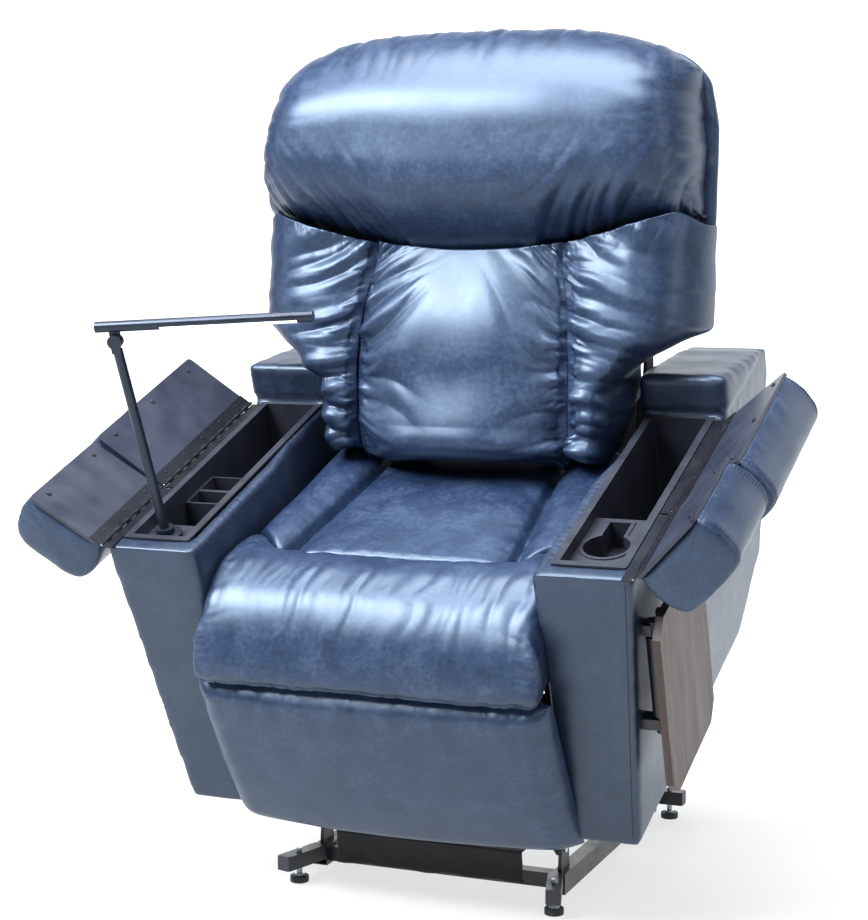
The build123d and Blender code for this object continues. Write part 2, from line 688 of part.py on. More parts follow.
for side, name, start, end, angle in LIDS:
    long = end - start
    section = lid_plane(side, start, end, angle)
    with BuildPart() as lid_board:
        with BuildSketch(section):
            with Locations((LID_WIDE / 2 + 1, 2 + BOARD_THICK / 2)):
                Rectangle(LID_WIDE - 8, BOARD_THICK)
        extrude(amount=long)
        fillet(lid_board.edges().filter_by(Axis(section.origin, section.y_dir)), BOARD_CORNER_R)
    save(f"lid_{name}_board", lid_board)

    with BuildPart() as lid_pad:
        base = 2 + BOARD_THICK
        with BuildSketch(section):
            with BuildLine():
                Polyline((2, base + 14), (2, base), (LID_WIDE, base), (LID_WIDE, base + 14))
                Spline((LID_WIDE, base + 14), (LID_WIDE, 62), (LID_WIDE * 0.84, LID_THICK - 5),
                       (LID_WIDE / 2, LID_THICK), (LID_WIDE * 0.14, LID_THICK - 5), (-2, 58),
                       (2, base + 14))
            make_face()
        extrude(amount=long)
    save(f"lid_{name}_pad", lid_pad)

    with BuildPart() as lid_hinge:
        with BuildSketch(section):
            with Locations((LEAF_WIDE / 2 + LEAF_START, 1)):
                Rectangle(LEAF_WIDE, 2)
        extrude(amount=long)
        add_knuckles(side, start, end, angle, 0, 0.5, LEAF_START + 0.5)
    save(f"lid_{name}_hinge", lid_hinge)

with BuildPart() as lid_hinge_fixed_leaves:
    for side, name, start, end, angle in LIDS:
        with BuildSketch(front_plane(start)):
            with Locations((side * (HINGE_X - LEAF_START - 7.5), ARM_TOP + 1.1)):
                Rectangle(15, 2)
        extrude(amount=start - end)
        add_knuckles(side, start, end, 180, 1, -2.9, LEAF_START + 0.5)
        with BuildSketch(front_plane(start)):
            with Locations((side * HINGE_X, HINGE_Z)):
                Circle(1.5)
        extrude(amount=start - end)
save("lid_hinge_fixed_leaves", lid_hinge_fixed_leaves)

# ---------------------------------------------------------------- seat cushions

with BuildPart() as seat_cushion:
    with BuildSketch(top_plane(SEAT_BOTTOM)):
        with BuildLine():
            Polyline((-190, 136), (190, 136), (161, 447), (158, 560), (-158, 560), (-161, 447), close=True)
        make_face()
    extrude(amount=SEAT_TOP - SEAT_BOTTOM)
    for side, _ in SIDES:
        with BuildSketch(top_plane(SEAT_BOTTOM)):
            with BuildLine():
                Polyline((side * 192, 136), (side * CUSHION_HALF, 136), (side * CUSHION_HALF, 560),
                         (side * 160, 560), (side * 163, 447), close=True)
            make_face()
        extrude(amount=SEAT_TOP - SEAT_BOTTOM)
save("seat_cushion", seat_cushion)

with BuildPart() as front_roll:
    with BuildSketch(side_plane(-CUSHION_HALF)):
        with BuildLine():
            Spline((-60, 289), (-48, 350), (-2, 412), (60, 446), (112, 456), (133, 436))
            Polyline((133, 436), (133, SEAT_BOTTOM), (38, SEAT_BOTTOM), (38, 289), (-60, 289))
        make_face()
    extrude(amount=2 * CUSHION_HALF)
save("front_roll", front_roll)

PANEL_REAR = 772.0
PANEL_THICK = 12.0
PANEL_LOW, PANEL_STEP, PANEL_TOP = 100.0, 390.0, 470.0
with BuildPart() as rear_panel:
    wide, narrow = ARM_INNER_TOP - 2, FRAME_X - 4
    outline = [(-wide, PANEL_LOW), (wide, PANEL_LOW), (wide, PANEL_STEP), (narrow, PANEL_STEP + 15)]
    outline += [(narrow, PANEL_TOP), (-narrow, PANEL_TOP), (-narrow, PANEL_STEP + 15)]
    outline += [(-wide, PANEL_STEP)]
    add_outline(front_plane(PANEL_REAR), outline, PANEL_THICK)
save("rear_panel", rear_panel)

# ---------------------------------------------------------------- back

lean = radians(BACK_LEAN)


def back_plane(depth):
    """Plane of the back at a depth behind its front seams: sketch y runs up the back."""
    facing = chair_rear * -cos(lean) + chair_up * sin(lean)
    origin = chair_point(0, *BACK_FOOT) - facing * depth
    return Plane(origin=origin, x_dir=(1, 0, 0), z_dir=facing)


SMILE_SIDE = 424.0
SMILE_MID = 342.0
BACK_TALL = 714.0
BACK_LOWEST = SEAT_TOP + 6
with BuildPart() as head_pillow:
    with BuildSketch(back_plane(BOARD_FRONT - 1)):
        with BuildLine():
            ThreePointArc((-BACK_HALF, SMILE_SIDE), (0, SMILE_MID), (BACK_HALF, SMILE_SIDE))
            Polyline((BACK_HALF, SMILE_SIDE), (BACK_HALF + 2, 560), (BACK_HALF - 16, 640))
            Spline((BACK_HALF - 16, 640), (345, 690), (200, BACK_TALL - 4), (0, BACK_TALL),
                   (-200, BACK_TALL - 4), (-345, 690), (16 - BACK_HALF, 640))
            Polyline((16 - BACK_HALF, 640), (-BACK_HALF - 2, 560), (-BACK_HALF, SMILE_SIDE))
        make_face()
    extrude(amount=BOARD_FRONT - 1 + 72)
    front_edges = head_pillow.faces().sort_by(Axis(chair_origin, back_plane(0).z_dir))[-1].edges()
    chamfer(front_edges, 40)
save("head_pillow", head_pillow)

with BuildPart() as back_lower_cushion:
    with BuildSketch(back_plane(BOARD_FRONT - 1)):
        with BuildLine():
            Polyline((-168, SMILE_MID + 9), (-187, 200), (-193, -14), (193, -14), (187, 200),
                     (168, SMILE_MID + 9))
            ThreePointArc((168, SMILE_MID + 9), (0, SMILE_MID - 5), (-168, SMILE_MID + 9))
        make_face()
    extrude(amount=BOARD_FRONT - 1 + 34)
    split(bisect_by=top_plane(BACK_LOWEST), keep=Keep.TOP)
save("back_lower_cushion", back_lower_cushion)

WING_FRONT = -14.0
# A lid swings past the wing's lower front corner, which gives way on the real chair and is cut
# back here to a step.
LID_SWEEP_TOP = HINGE_Z + 168
LID_SWEEP_REAR = 562.0
WING_STEM, WING_WIDE = 284.0, 130.0
with BuildPart() as back_wings:
    for side, _ in SIDES:
        with BuildSketch(back_plane(BOARD_FRONT - 1)):
            with BuildLine():
                Polyline((side * 195, -14), (side * 281, -14), (side * 281, 160),
                         (side * BACK_HALF, 160), (side * (BACK_HALF + 2), 300),
                         (side * BACK_HALF, SMILE_SIDE - 5), (side * 290, SMILE_MID + 34),
                         (side * 170, SMILE_MID + 5), (side * 189, 200), close=True)
            make_face()
        extrude(amount=BOARD_FRONT - 1 - WING_FRONT)
        wing_side = low_x(side, WING_STEM, WING_WIDE)
        with BuildSketch(side_plane(wing_side)):
            with BuildLine():
                Polyline((400, 500), (400, 660), (497, 606), (520, 592), (552, 579), (620, 584),
                         (760, 655), (760, 500), close=True)
            make_face()
        extrude(amount=WING_WIDE, mode=Mode.SUBTRACT)
        with BuildSketch(side_plane(wing_side)):
            with BuildLine():
                Polyline((400, 500), (400, LID_SWEEP_TOP), (LID_SWEEP_REAR, LID_SWEEP_TOP),
                         (LID_SWEEP_REAR, 500), close=True)
            make_face()
        extrude(amount=WING_WIDE, mode=Mode.SUBTRACT)
        with BuildSketch(side_plane(low_x(side, WING_STEM, WELD_GAP))):
            with Locations((600, 700)):
                Rectangle(600, 700)
        extrude(amount=WELD_GAP, mode=Mode.SUBTRACT)
        with BuildSketch(top_plane(LID_SWEEP_TOP)):
            with Locations((side * (WING_STEM + WING_WIDE / 2), 600)):
                Rectangle(WING_WIDE, 600)
        extrude(amount=WELD_GAP, mode=Mode.SUBTRACT)
    split(bisect_by=top_plane(BACK_LOWEST), keep=Keep.TOP)
save("back_wings", back_wings)

BRACKET_X = 272.0
with BuildPart() as back_frame:
    with BuildSketch(back_plane(BOARD_FRONT + BACK_BOARD)):
        with BuildLine():
            Polyline((-278, 30), (278, 30), (278, 190), (375, 230), (375, 620), (300, 680),
                     (-300, 680), (-375, 620), (-375, 230), (-278, 190), close=True)
        make_face()
    extrude(amount=BACK_BOARD)
    for side, _ in SIDES:
        plane = side_plane(low_x(side, BRACKET_X, PLATE))
        outline = [(600, 285), (620, 275), (645, 290), (672, 470), (700, 560), (668, 575), (592, 440)]
        add_outline(plane, outline, PLATE)
        with BuildSketch(plane):
            with Locations(RECLINE_PIVOT):
                Circle(PIN_R + FIT)
        extrude(amount=PLATE, mode=Mode.SUBTRACT)
save("back_frame", back_frame)

COVER_THICK = 22.0
with BuildPart() as back_cover:
    cover_front = BOARD_FRONT + BACK_BOARD + 0.5
    with BuildSketch(back_plane(cover_front + COVER_THICK)):
        with BuildLine():
            Polyline((-270, 60), (270, 60), (270, 225), (398, 250), (400, 560), (385, 636))
            Spline((385, 636), (335, 684), (190, 700), (0, 703), (-190, 700), (-335, 684), (-385, 636))
            Polyline((-385, 636), (-400, 560), (-398, 250), (-270, 225), (-270, 60))
        make_face()
    extrude(amount=COVER_THICK)
save("back_cover", back_cover)

# ---------------------------------------------------------------- footrest

LINK_THICK = 6.0
INNER_LINK_X = 232.0
OUTER_LINK_X = 240.0
BOARD_EAR_X = 248.0
elbow = in_world(LINK_ELBOW)
foot_hinge = in_world(FOOT_HINGE)
torsion = in_world(TORSION_PIVOT)
with BuildPart() as footrest_lower_links:
    with BuildSketch(side_plane(-275)):
        with Locations(TORSION_PIVOT):
            Circle(TORSION_R)
    extrude(amount=550)
    for side, _ in SIDES:
        x = low_x(side, INNER_LINK_X, LINK_THICK)
        add_link(x, LINK_THICK, torsion, elbow, 20, 2, 2)
        pin_low = low_x(side, INNER_LINK_X, 14.5)
        with BuildSketch(base_side_plane(pin_low)):
            with Locations(elbow):
                Circle(5)
        extrude(amount=14.5)
    for start in (FOOT_MOTOR_X - 13 - PLATE, FOOT_MOTOR_X + 13):
        add_link(start, PLATE, torsion, in_world(crank_tip), 24, 2, 2)
    with BuildSketch(base_side_plane(FOOT_MOTOR_X - 19)):
        with Locations(in_world(crank_tip)):
            Circle(5)
    extrude(amount=38)
save("footrest_lower_links", footrest_lower_links)

with BuildPart() as footrest_upper_links:
    for side, _ in SIDES:
        x = low_x(side, OUTER_LINK_X, LINK_THICK)
        add_link(x, LINK_THICK, elbow, foot_hinge, 18, 5 + FIT, 4 + FIT)
save("footrest_upper_links", footrest_upper_links)

foot_lean = radians(FOOT_LEAN)


def foot_plane(x):
    """Plane across the footrest at x: sketch x is the depth behind its face, y runs down."""
    down = chair_rear * sin(foot_lean) - chair_up * cos(foot_lean)
    depth = chair_rear * cos(foot_lean) + chair_up * sin(foot_lean)
    return Plane(origin=chair_point(x, *FOOT_TOP), x_dir=depth, z_dir=depth.cross(down))


def add_foot_slab(start_x, wide, points):
    """A slab across the footrest from an outline of (depth, down) points."""
    plane = foot_plane(start_x)
    add_outline(plane, points, wide * plane.z_dir.X)


with BuildPart() as footrest_pad:
    end = FOOT_PAD_THICK
    points = [(0, 0), (0, FOOT_LONG - 12), (10, FOOT_LONG), (end, FOOT_LONG - 6), (end, end * 0.23)]
    add_foot_slab(-CUSHION_HALF, 2 * CUSHION_HALF, points)
save("footrest_pad", footrest_pad)

with BuildPart() as footrest_board:
    low, high = FOOT_PAD_THICK + 0.5, FOOT_PAD_THICK + FOOT_BOARD_THICK
    add_foot_slab(-270, 540, [(low, 24), (low, 205), (high, 205), (high, 24)])
    for side, _ in SIDES:
        start = low_x(side, BOARD_EAR_X, LINK_THICK)
        add_foot_slab(start, LINK_THICK, [(high, 35), (high, 82), (70, 70), (73, 58), (68, 48)])
        pin_low = low_x(side, OUTER_LINK_X - 1, LINK_THICK + 9)
        with BuildSketch(base_side_plane(pin_low)):
            with Locations(foot_hinge):
                Circle(4)
        extrude(amount=LINK_THICK + 9)
save("footrest_board", footrest_board)

# ---------------------------------------------------------------- lamp

bar_start = chair_point(*BAR_START)
bar_end = chair_point(*BAR_END)
bar_along = (bar_end - bar_start).normalized()
knuckle = chair_point(*KNUCKLE)
knuckle_axis = chair_up.cross(bar_along).normalized()
post_foot = chair_point(LAMP_X, LAMP_Y, SHELF_Z + 12.3)
post_long = (knuckle - post_foot).length
post_along = (knuckle - post_foot).normalized()
bar_up = knuckle_axis.cross(bar_along) * -1
bar_above = (bar_start - knuckle).dot(bar_up)

with BuildPart() as lamp_post:
    with BuildSketch(Plane(origin=post_foot, x_dir=(1, 0, 0), z_dir=chair_up)):
        Circle(15)
    extrude(amount=9)
    with BuildSketch(Plane(origin=post_foot + chair_up * 3, x_dir=(1, 0, 0), z_dir=post_along)):
        Circle(POST_R)
    extrude(amount=post_long - 17)
    tongue = Plane(origin=knuckle - knuckle_axis * 6.7, x_dir=post_along, z_dir=knuckle_axis)
    with BuildSketch(tongue):
        Circle(11.5)
        with Locations((-9, 0)):
            Rectangle(18, 14)
    extrude(amount=6.4)
save("lamp_post", lamp_post)

BAR_LONG = (bar_end - bar_start).length
LENS_FROM = 103.0
LENS_LONG = 216.0
LENS_WIDE = 9.0
LENS_DEEP = 5.6
# The light strip looks down and to the front.
front_side = knuckle_axis if knuckle_axis.Y < 0 else -knuckle_axis
lens_out = (front_side - bar_up).normalized()
lens_top = Plane(origin=bar_start + lens_out * LENS_DEEP, x_dir=bar_along, z_dir=lens_out)
with BuildPart() as lamp_bar:
    with BuildSketch(Plane(origin=bar_start, x_dir=knuckle_axis, z_dir=bar_along)):
        Circle(BAR_R)
    extrude(amount=BAR_LONG)
    lug_plane = Plane(origin=knuckle, x_dir=bar_along, z_dir=knuckle_axis)
    with BuildSketch(lug_plane):
        Circle(11.5)
        with Locations((0, bar_above / 2 * (1 if lug_plane.y_dir.dot(bar_up) > 0 else -1))):
            Rectangle(16, bar_above)
    extrude(amount=6.4)
    with BuildSketch(lens_top):
        with Locations((LENS_FROM + LENS_LONG / 2, 0)):
            Rectangle(LENS_LONG, LENS_WIDE)
    extrude(amount=6, mode=Mode.SUBTRACT)
save("lamp_bar", lamp_bar)

with BuildPart() as lamp_lens:
    with BuildSketch(lens_top):
        with Locations((LENS_FROM + LENS_LONG / 2, 0)):
            Rectangle(LENS_LONG - 2 * WELD_GAP, LENS_WIDE - 2 * WELD_GAP)
    extrude(amount=2.4)
save("lamp_lens", lamp_lens)

# ---------------------------------------------------------------- side table

POST_LOW, POST_TOP = 205.0, 398.0
post_x, post_y = TABLE_POST
with BuildPart() as table_post:
    for z in (POST_LOW + 8, POST_TOP - 22):
        with BuildSketch(top_plane(z)):
            with Locations(((post_x + 395) / 2, post_y)):
                Rectangle(post_x - 395, 24)
        extrude(amount=18)
    away = outer_face(1).offset(-0.2 if outer_face(1).z_dir.X < 0 else 0.2)
    split(bisect_by=away, keep=Keep.TOP if away.z_dir.X > 0 else Keep.BOTTOM)
    with BuildSketch(top_plane(POST_LOW)):
        with Locations(TABLE_POST):
            Circle(TABLE_POST_R)
    extrude(amount=POST_TOP - POST_LOW)
save("table_post", table_post)

SLEEVE_LOW, SLEEVE_TOP = 236.0, 372.0
hinge_x, hinge_z = TABLE_HINGE
with BuildPart() as table_arm:
    with BuildSketch(top_plane(SLEEVE_LOW)):
        with Locations(TABLE_POST):
            Circle(12.5)
    extrude(amount=SLEEVE_TOP - SLEEVE_LOW)
    with BuildSketch(top_plane(SLEEVE_TOP - 60)):
        with Locations((post_x + 5.5, post_y + 18)):
            Rectangle(11.5, 24)
    extrude(amount=60)
    with BuildSketch(top_plane(SLEEVE_TOP - 60)):
        with Locations((post_x + 5.5, post_y + 24)):
            Rectangle(11.5, 12)
    extrude(amount=hinge_z + 3 - SLEEVE_TOP + 60)
    with BuildSketch(front_plane(post_y + 20)):
        with Locations(TABLE_HINGE):
            Circle(4.5)
    extrude(amount=-150)
    with BuildSketch(top_plane(SLEEVE_LOW)):
        with Locations(TABLE_POST):
            Circle(TABLE_POST_R + FIT)
    extrude(amount=SLEEVE_TOP - SLEEVE_LOW, mode=Mode.SUBTRACT)
save("table_arm", table_arm)

TABLE_LOW, TABLE_HIGH = 116.0, 418.0
TABLE_FRONT, TABLE_BACK = 8.0, 256.0
with BuildPart() as table_top:
    with BuildSketch(side_plane(TABLE_INNER)):
        with BuildLine():
            Polyline((TABLE_FRONT, TABLE_LOW + 26), (TABLE_FRONT + 26, TABLE_LOW),
                     (TABLE_BACK - 26, TABLE_LOW), (TABLE_BACK, TABLE_LOW + 26),
                     (TABLE_BACK, TABLE_HIGH - 26), (TABLE_BACK - 26, TABLE_HIGH),
                     (TABLE_FRONT + 26, TABLE_HIGH), (TABLE_FRONT, TABLE_HIGH - 26), close=True)
        make_face()
    extrude(amount=TABLE_THICK)
    for y in (post_y + 55, post_y + 140):
        with BuildSketch(front_plane(y)):
            with Locations(TABLE_HINGE):
                Circle(7)
            with Locations((hinge_x + 3, hinge_z)):
                Rectangle(6, 14)
            with Locations(TABLE_HINGE):
                Circle(4.5 + FIT, mode=Mode.SUBTRACT)
        extrude(amount=-18)
save("table_top", table_top)
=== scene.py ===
import json
from math import cos, pi, radians, sin

import bmesh
import bpy
import numpy as np
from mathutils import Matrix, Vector
from mathutils.bvhtree import BVHTree


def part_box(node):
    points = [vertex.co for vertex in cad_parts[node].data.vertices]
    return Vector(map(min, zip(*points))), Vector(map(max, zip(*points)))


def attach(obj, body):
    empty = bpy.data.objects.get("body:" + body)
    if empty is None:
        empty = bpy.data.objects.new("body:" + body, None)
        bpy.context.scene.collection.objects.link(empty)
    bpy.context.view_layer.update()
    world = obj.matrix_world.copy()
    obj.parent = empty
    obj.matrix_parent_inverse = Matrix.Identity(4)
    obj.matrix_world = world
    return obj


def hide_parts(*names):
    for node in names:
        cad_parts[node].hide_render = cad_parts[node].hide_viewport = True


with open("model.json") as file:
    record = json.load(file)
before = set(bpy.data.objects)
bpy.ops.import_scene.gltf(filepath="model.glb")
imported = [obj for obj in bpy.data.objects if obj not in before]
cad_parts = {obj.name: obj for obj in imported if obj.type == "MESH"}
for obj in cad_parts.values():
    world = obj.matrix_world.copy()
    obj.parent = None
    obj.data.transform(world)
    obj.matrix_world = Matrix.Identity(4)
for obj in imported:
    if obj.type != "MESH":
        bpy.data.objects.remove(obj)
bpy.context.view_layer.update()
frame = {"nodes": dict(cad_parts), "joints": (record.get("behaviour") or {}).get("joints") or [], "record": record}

MM = 0.001
SIDES = ((-1, "left"), (1, "right"))
LIDS = ("left_front", "left_rear", "right_front", "right_rear")

# Lengths below are millimetres in the chair's own level frame: x to the right, y to the rear
# from the front of the arms, z up from their lower edge. Angles are degrees.
HINGE_X, HINGE_Z = 437.0, 498.0  # axis of the lids' hinges
BACK_LEAN = 23.2
BACK_FOOT = (450.0, 455.0)  # y and z where the back's own height and depth are 0
BACK_HALF = 404.0
SMILE_MID, SMILE_RISE = 342.0, 82.0  # the curved seam under the pillow, and its rise to the sides
BACK_TOP = 728.0
SEAT_TOP = 430.0
CUSHION_HALF = 284.0  # half the gap between the arms
ARM_TOP = 494.0
FOOT_LEAN = 12.9
FOOT_TOP = (-60.0, 283.0)  # y and z of the footrest's front face at its top edge
FRONT = (0.0, -1.0, 0.0)

joints = {joint["name"]: joint for joint in frame["joints"]}
rear_dir = np.array(joints["lid_left_front_close"]["axis"])
up_dir = np.cross([1.0, 0.0, 0.0], rear_dir)
chair_origin = (
    np.array(joints["lid_left_front_close"]["pos_m"])
    + np.array([HINGE_X * MM, 0, 0])
    - up_dir * HINGE_Z * MM
)


def chair(x, y, z):
    """World points, in metres, of chair points in millimetres."""
    x, y, z = np.broadcast_arrays(np.asarray(x, float), y, z)
    return (
        chair_origin
        + x[..., None] * MM * np.array([1.0, 0, 0])
        + y[..., None] * MM * rear_dir
        + z[..., None] * MM * up_dir
    )


def to_chair(points):
    """Chair millimetres of world points in metres."""
    away = (points - chair_origin) / MM
    return away[..., 0], away @ rear_dir, away @ up_dir


def back(x, tall, depth):
    """World points of the back: tall runs up it, depth behind its front seams."""
    lean = radians(BACK_LEAN)
    y = BACK_FOOT[0] + tall * sin(lean) + depth * cos(lean)
    z = BACK_FOOT[1] + tall * cos(lean) - depth * sin(lean)
    return chair(x, y, z)


# -------- noise and wrinkles


HASH_X, HASH_Y, HASH_SEED, HASH_MIX = 374761393, 668265263, 982451653, 1274126177
HASH_MASK, HASH_STEPS = 0x7FFFFFFF, 65536


def lattice(ix, iy, seed):
    """A steady pseudo-random angle for each lattice point."""
    mixed = (ix * HASH_X + iy * HASH_Y + seed * HASH_SEED) & HASH_MASK
    mixed = ((mixed ^ (mixed >> 13)) * HASH_MIX) & HASH_MASK
    return (mixed ^ (mixed >> 16)) % HASH_STEPS / HASH_STEPS * 2 * pi


def noise(x, y, seed):
    """Smooth gradient noise, about -0.7 to 0.7."""
    x, y = np.broadcast_arrays(np.asarray(x, float), np.asarray(y, float))
    ix, iy = np.floor(x).astype(np.int64), np.floor(y).astype(np.int64)
    fx, fy = x - ix, y - iy
    sx, sy = fx * fx * (3 - 2 * fx), fy * fy * (3 - 2 * fy)
    corner = {}
    for dx in (0, 1):
        for dy in (0, 1):
            turn = lattice(ix + dx, iy + dy, seed)
            corner[dx, dy] = np.cos(turn) * (fx - dx) + np.sin(turn) * (fy - dy)
    low = corner[0, 0] * (1 - sx) + corner[1, 0] * sx
    high = corner[0, 1] * (1 - sx) + corner[1, 1] * sx
    return low * (1 - sy) + high * sy


def smooth_step(value, low, high):
    """0 below low, 1 above high, smooth between."""
    part = np.clip((value - low) / (high - low), 0, 1)
    return part * part * (3 - 2 * part)


def folds(along, away, wave, reach, seed, stretch=4.5):
    """Soft folds that leave a seam at right angles: round ridges with sharp valleys between."""
    drift = noise(along / (wave * 3), away / (wave * 2.5), seed + 7) * 0.9
    ridge = np.abs(noise(along / wave + drift, away / (wave * stretch), seed))
    return (ridge * 2.2 - 0.5) * np.exp(-((np.clip(away, 0, None) / reach) ** 1.4))


def gathers(along, away, height, reach, seed):
    """Small puckers at a gathered seam that merge into longer folds away from it."""
    patchy = 0.55 + 0.9 * np.clip(noise(along / 95, away / 400, seed + 21) + 0.45, 0, 1)
    large = folds(along, away, 48, reach, seed) * height
    middle = folds(along, away, 25, reach * 0.55, seed + 3) * height * 0.5
    small = folds(along, away, 10, reach * 0.16, seed + 5, 2.5) * height * 0.35
    return (large + middle) * patchy + small


# -------- meshes


def add_object(name, verts, faces, material):
    """A mesh object from vertices in metres."""
    mesh = bpy.data.meshes.new(name)
    mesh.from_pydata([tuple(v) for v in verts], [], faces)
    mesh.validate()
    work = bmesh.new()
    work.from_mesh(mesh)
    bmesh.ops.recalc_face_normals(work, faces=work.faces)
    work.to_mesh(mesh)
    work.free()
    mesh.shade_smooth()
    mesh.materials.append(material)
    obj = bpy.data.objects.new(name, mesh)
    bpy.context.scene.collection.objects.link(obj)
    return obj


def grid_normals(points):
    """Unit normals of a grid of points."""
    across = np.gradient(points, axis=0)
    along = np.gradient(points, axis=1)
    normal = np.cross(across, along)
    return normal / np.maximum(np.linalg.norm(normal, axis=-1, keepdims=True), 1e-12)


def outward_normals(points, outward, part=slice(None)):
    """Unit normals of a grid, turned so that this part of its columns faces outward."""
    normal = grid_normals(points)
    return -normal if np.mean(normal[:, part] @ np.asarray(outward)) < 0 else normal


def moved_out(points, outward, move):
    """A grid of points moved along its outward normals by heights in millimetres."""
    return points + outward_normals(points, outward) * (move * MM)[..., None]


def border(grid):
    """The outer ring of a grid, in order."""
    return np.concatenate([grid[0, :-1], grid[:-1, -1], grid[-1, :0:-1], grid[:0:-1, 0]])


def grid_faces(rows, columns, closed=False):
    """Quads of a grid, joined round its columns if closed."""
    faces = []
    for near in range(0, (rows - 1) * columns, columns):
        far = near + columns
        for j in range(columns if closed else columns - 1):
            k = (j + 1) % columns
            faces.append((near + j, near + k, far + k, far + j))
    return faces


def fan(first, count, tip):
    """Triangles from a ring of vertices to a single one at its middle."""
    return [(first + k, first + (k + 1) % count, tip) for k in range(count)]


def run_samples(length, drop, count, start_round, end_round, power):
    """Places 0 to 1 along a cushion, closer where its ends roll over, and the height 0 to 1.

    Each end falls by the drop over its rounding, squarer for a higher power. A rounding of 0
    leaves that end at full height.
    """
    place = np.linspace(0, 1, 6001)
    height = np.ones_like(place)
    for radius, away in ((start_round, place), (end_round, 1 - place)):
        if radius:
            near = np.clip(1 - away * length / radius, 0, 1)
            height = height * (1 - near**power) ** (1 / power)
    steps = np.hypot(np.diff(place) * length, np.diff(height) * drop)
    arc = np.concatenate([[0], np.cumsum(steps)])
    want = np.linspace(0, arc[-1], count)
    return np.interp(want, arc, place), np.interp(want, arc, height)


def squeeze(section, middle, size):
    """A section drawn in towards its middle near a cushion's end, but never to nothing."""
    return middle + (section - middle) * (0.02 + 0.98 * size)


def close_shell(front, rear):
    """Faces and vertices of a front grid closed by a ring of rear points and a flat back."""
    rows, columns = front.shape[:2]
    verts = [front.reshape(-1, 3)]
    faces = grid_faces(rows, columns)
    ring = border(np.arange(rows * columns).reshape(rows, columns))
    edge = border(rear)
    centre = edge.mean(axis=0)
    start = rows * columns
    loops = [ring]
    for share in (0.0, 0.35, 0.7):
        verts.append(edge + (centre - edge) * share)
        loops.append(np.arange(start, start + len(ring)))
        start += len(ring)
    verts.append(centre[None])
    count = len(ring)
    for outer, inner in zip(loops, loops[1:]):
        for i in range(count):
            j = (i + 1) % count
            faces.append((outer[i], outer[j], inner[j], inner[i]))
    faces += fan(start - count, count, start)
    return np.concatenate(verts), [tuple(int(n) for n in face) for face in faces]


def add_shell(name, front, rear, material):
    """A closed cushion from its front surface and the points behind its border."""
    verts, faces = close_shell(front, rear)
    return add_object(name, verts, faces, material)


def add_sweep(name, rings, material):
    """A closed cushion from rings of section points, capped at both ends."""
    count, around = rings.shape[:2]
    verts = rings.reshape(-1, 3)
    faces = grid_faces(count, around, closed=True)
    for end in (0, count - 1):
        centre = rings[end].mean(axis=0)
        verts = np.concatenate([verts, centre[None]])
        faces += fan(end * around, around, len(verts) - 1)
    return add_object(name, verts, faces, material)


TUBE_SIDES = 8


def add_tube(name, path, radius, material):
    """A thin round piping, seam or pin along a path of world points."""
    path = np.asarray(path)
    ahead = np.roll(path, -1, axis=0) - np.roll(path, 1, axis=0)
    ahead[0], ahead[-1] = path[1] - path[0], path[-1] - path[-2]
    ahead /= np.linalg.norm(ahead, axis=1, keepdims=True)
    rings = []
    oblique = [0.31, 0.17, 0.93]  # no path here runs this way
    side = np.cross(ahead[0], oblique)
    turns = np.linspace(0, 2 * pi, TUBE_SIDES, endpoint=False)
    for point, along in zip(path, ahead):
        side = side - along * side.dot(along)
        side /= np.linalg.norm(side)
        other = np.cross(along, side)
        out = np.cos(turns)[:, None] * side + np.sin(turns)[:, None] * other
        rings.append(point + radius * out)
    return add_sweep(name, np.array(rings), material)


def surface_tree(obj):
    """A ray casting tree of an object's mesh."""
    verts = [vertex.co[:] for vertex in obj.data.vertices]
    return BVHTree.FromPolygons(verts, [polygon.vertices[:] for polygon in obj.data.polygons])


def onto(tree, starts, rays):
    """Where rays meet a surface, with the normals there and the ways back along the rays."""
    hits = []
    for start, ray in zip(starts, np.broadcast_to(rays, np.shape(starts))):
        point, normal, _, _ = tree.ray_cast(Vector(start), Vector(ray))
        if point is not None:
            normal = np.array(normal)
            hits.append((np.array(point), normal if normal @ ray < 0 else -normal, -ray))
    return tuple(np.array(rows) for rows in zip(*hits))


STITCH_LIFT = 0.15
STITCH_SIDES = 6


def add_stitches(name, points, normals, material, pitch, long, thick):
    """A row of short raised thread stitches along a line on a surface, sizes in millimetres."""
    steps = np.linalg.norm(np.diff(points, axis=0), axis=1)
    arc = np.concatenate([[0], np.cumsum(steps)])
    verts, faces = [], []
    for start in np.arange(0.5 * pitch * MM, arc[-1] - pitch * MM, pitch * MM):
        at = start + long * MM * np.array([0, 0.5, 1])
        spots, ups = (
            np.stack([np.interp(at, arc, source[:, k]) for k in range(3)], axis=1)
            for source in (points, normals)
        )
        along = spots[2] - spots[0]
        along /= max(np.linalg.norm(along), 1e-9)
        first = len(verts)
        # Each stitch is thick and raised at its middle, thin and sunk at its ends.
        for spot, up, size, rise in zip(spots, ups, (0.55, 1.0, 0.55), (-0.3, 0.5, -0.3)):
            up = up / max(np.linalg.norm(up), 1e-9)
            side = np.cross(along, up)
            centre = spot + up * (STITCH_LIFT + rise * thick) * MM
            for turn in range(STITCH_SIDES):
                angle = turn * 2 * pi / STITCH_SIDES
                verts.append(centre + size * thick * MM * (cos(angle) * side + sin(angle) * up))
        for face in grid_faces(len(spots), STITCH_SIDES, closed=True):
            faces.append(tuple(first + corner for corner in face))
        last = first + (len(spots) - 1) * STITCH_SIDES
        faces.append(tuple(range(first, first + STITCH_SIDES)))
        faces.append(tuple(range(last + STITCH_SIDES - 1, last - 1, -1)))
    return add_object(name, verts, faces, material)


VOXEL = 5.0


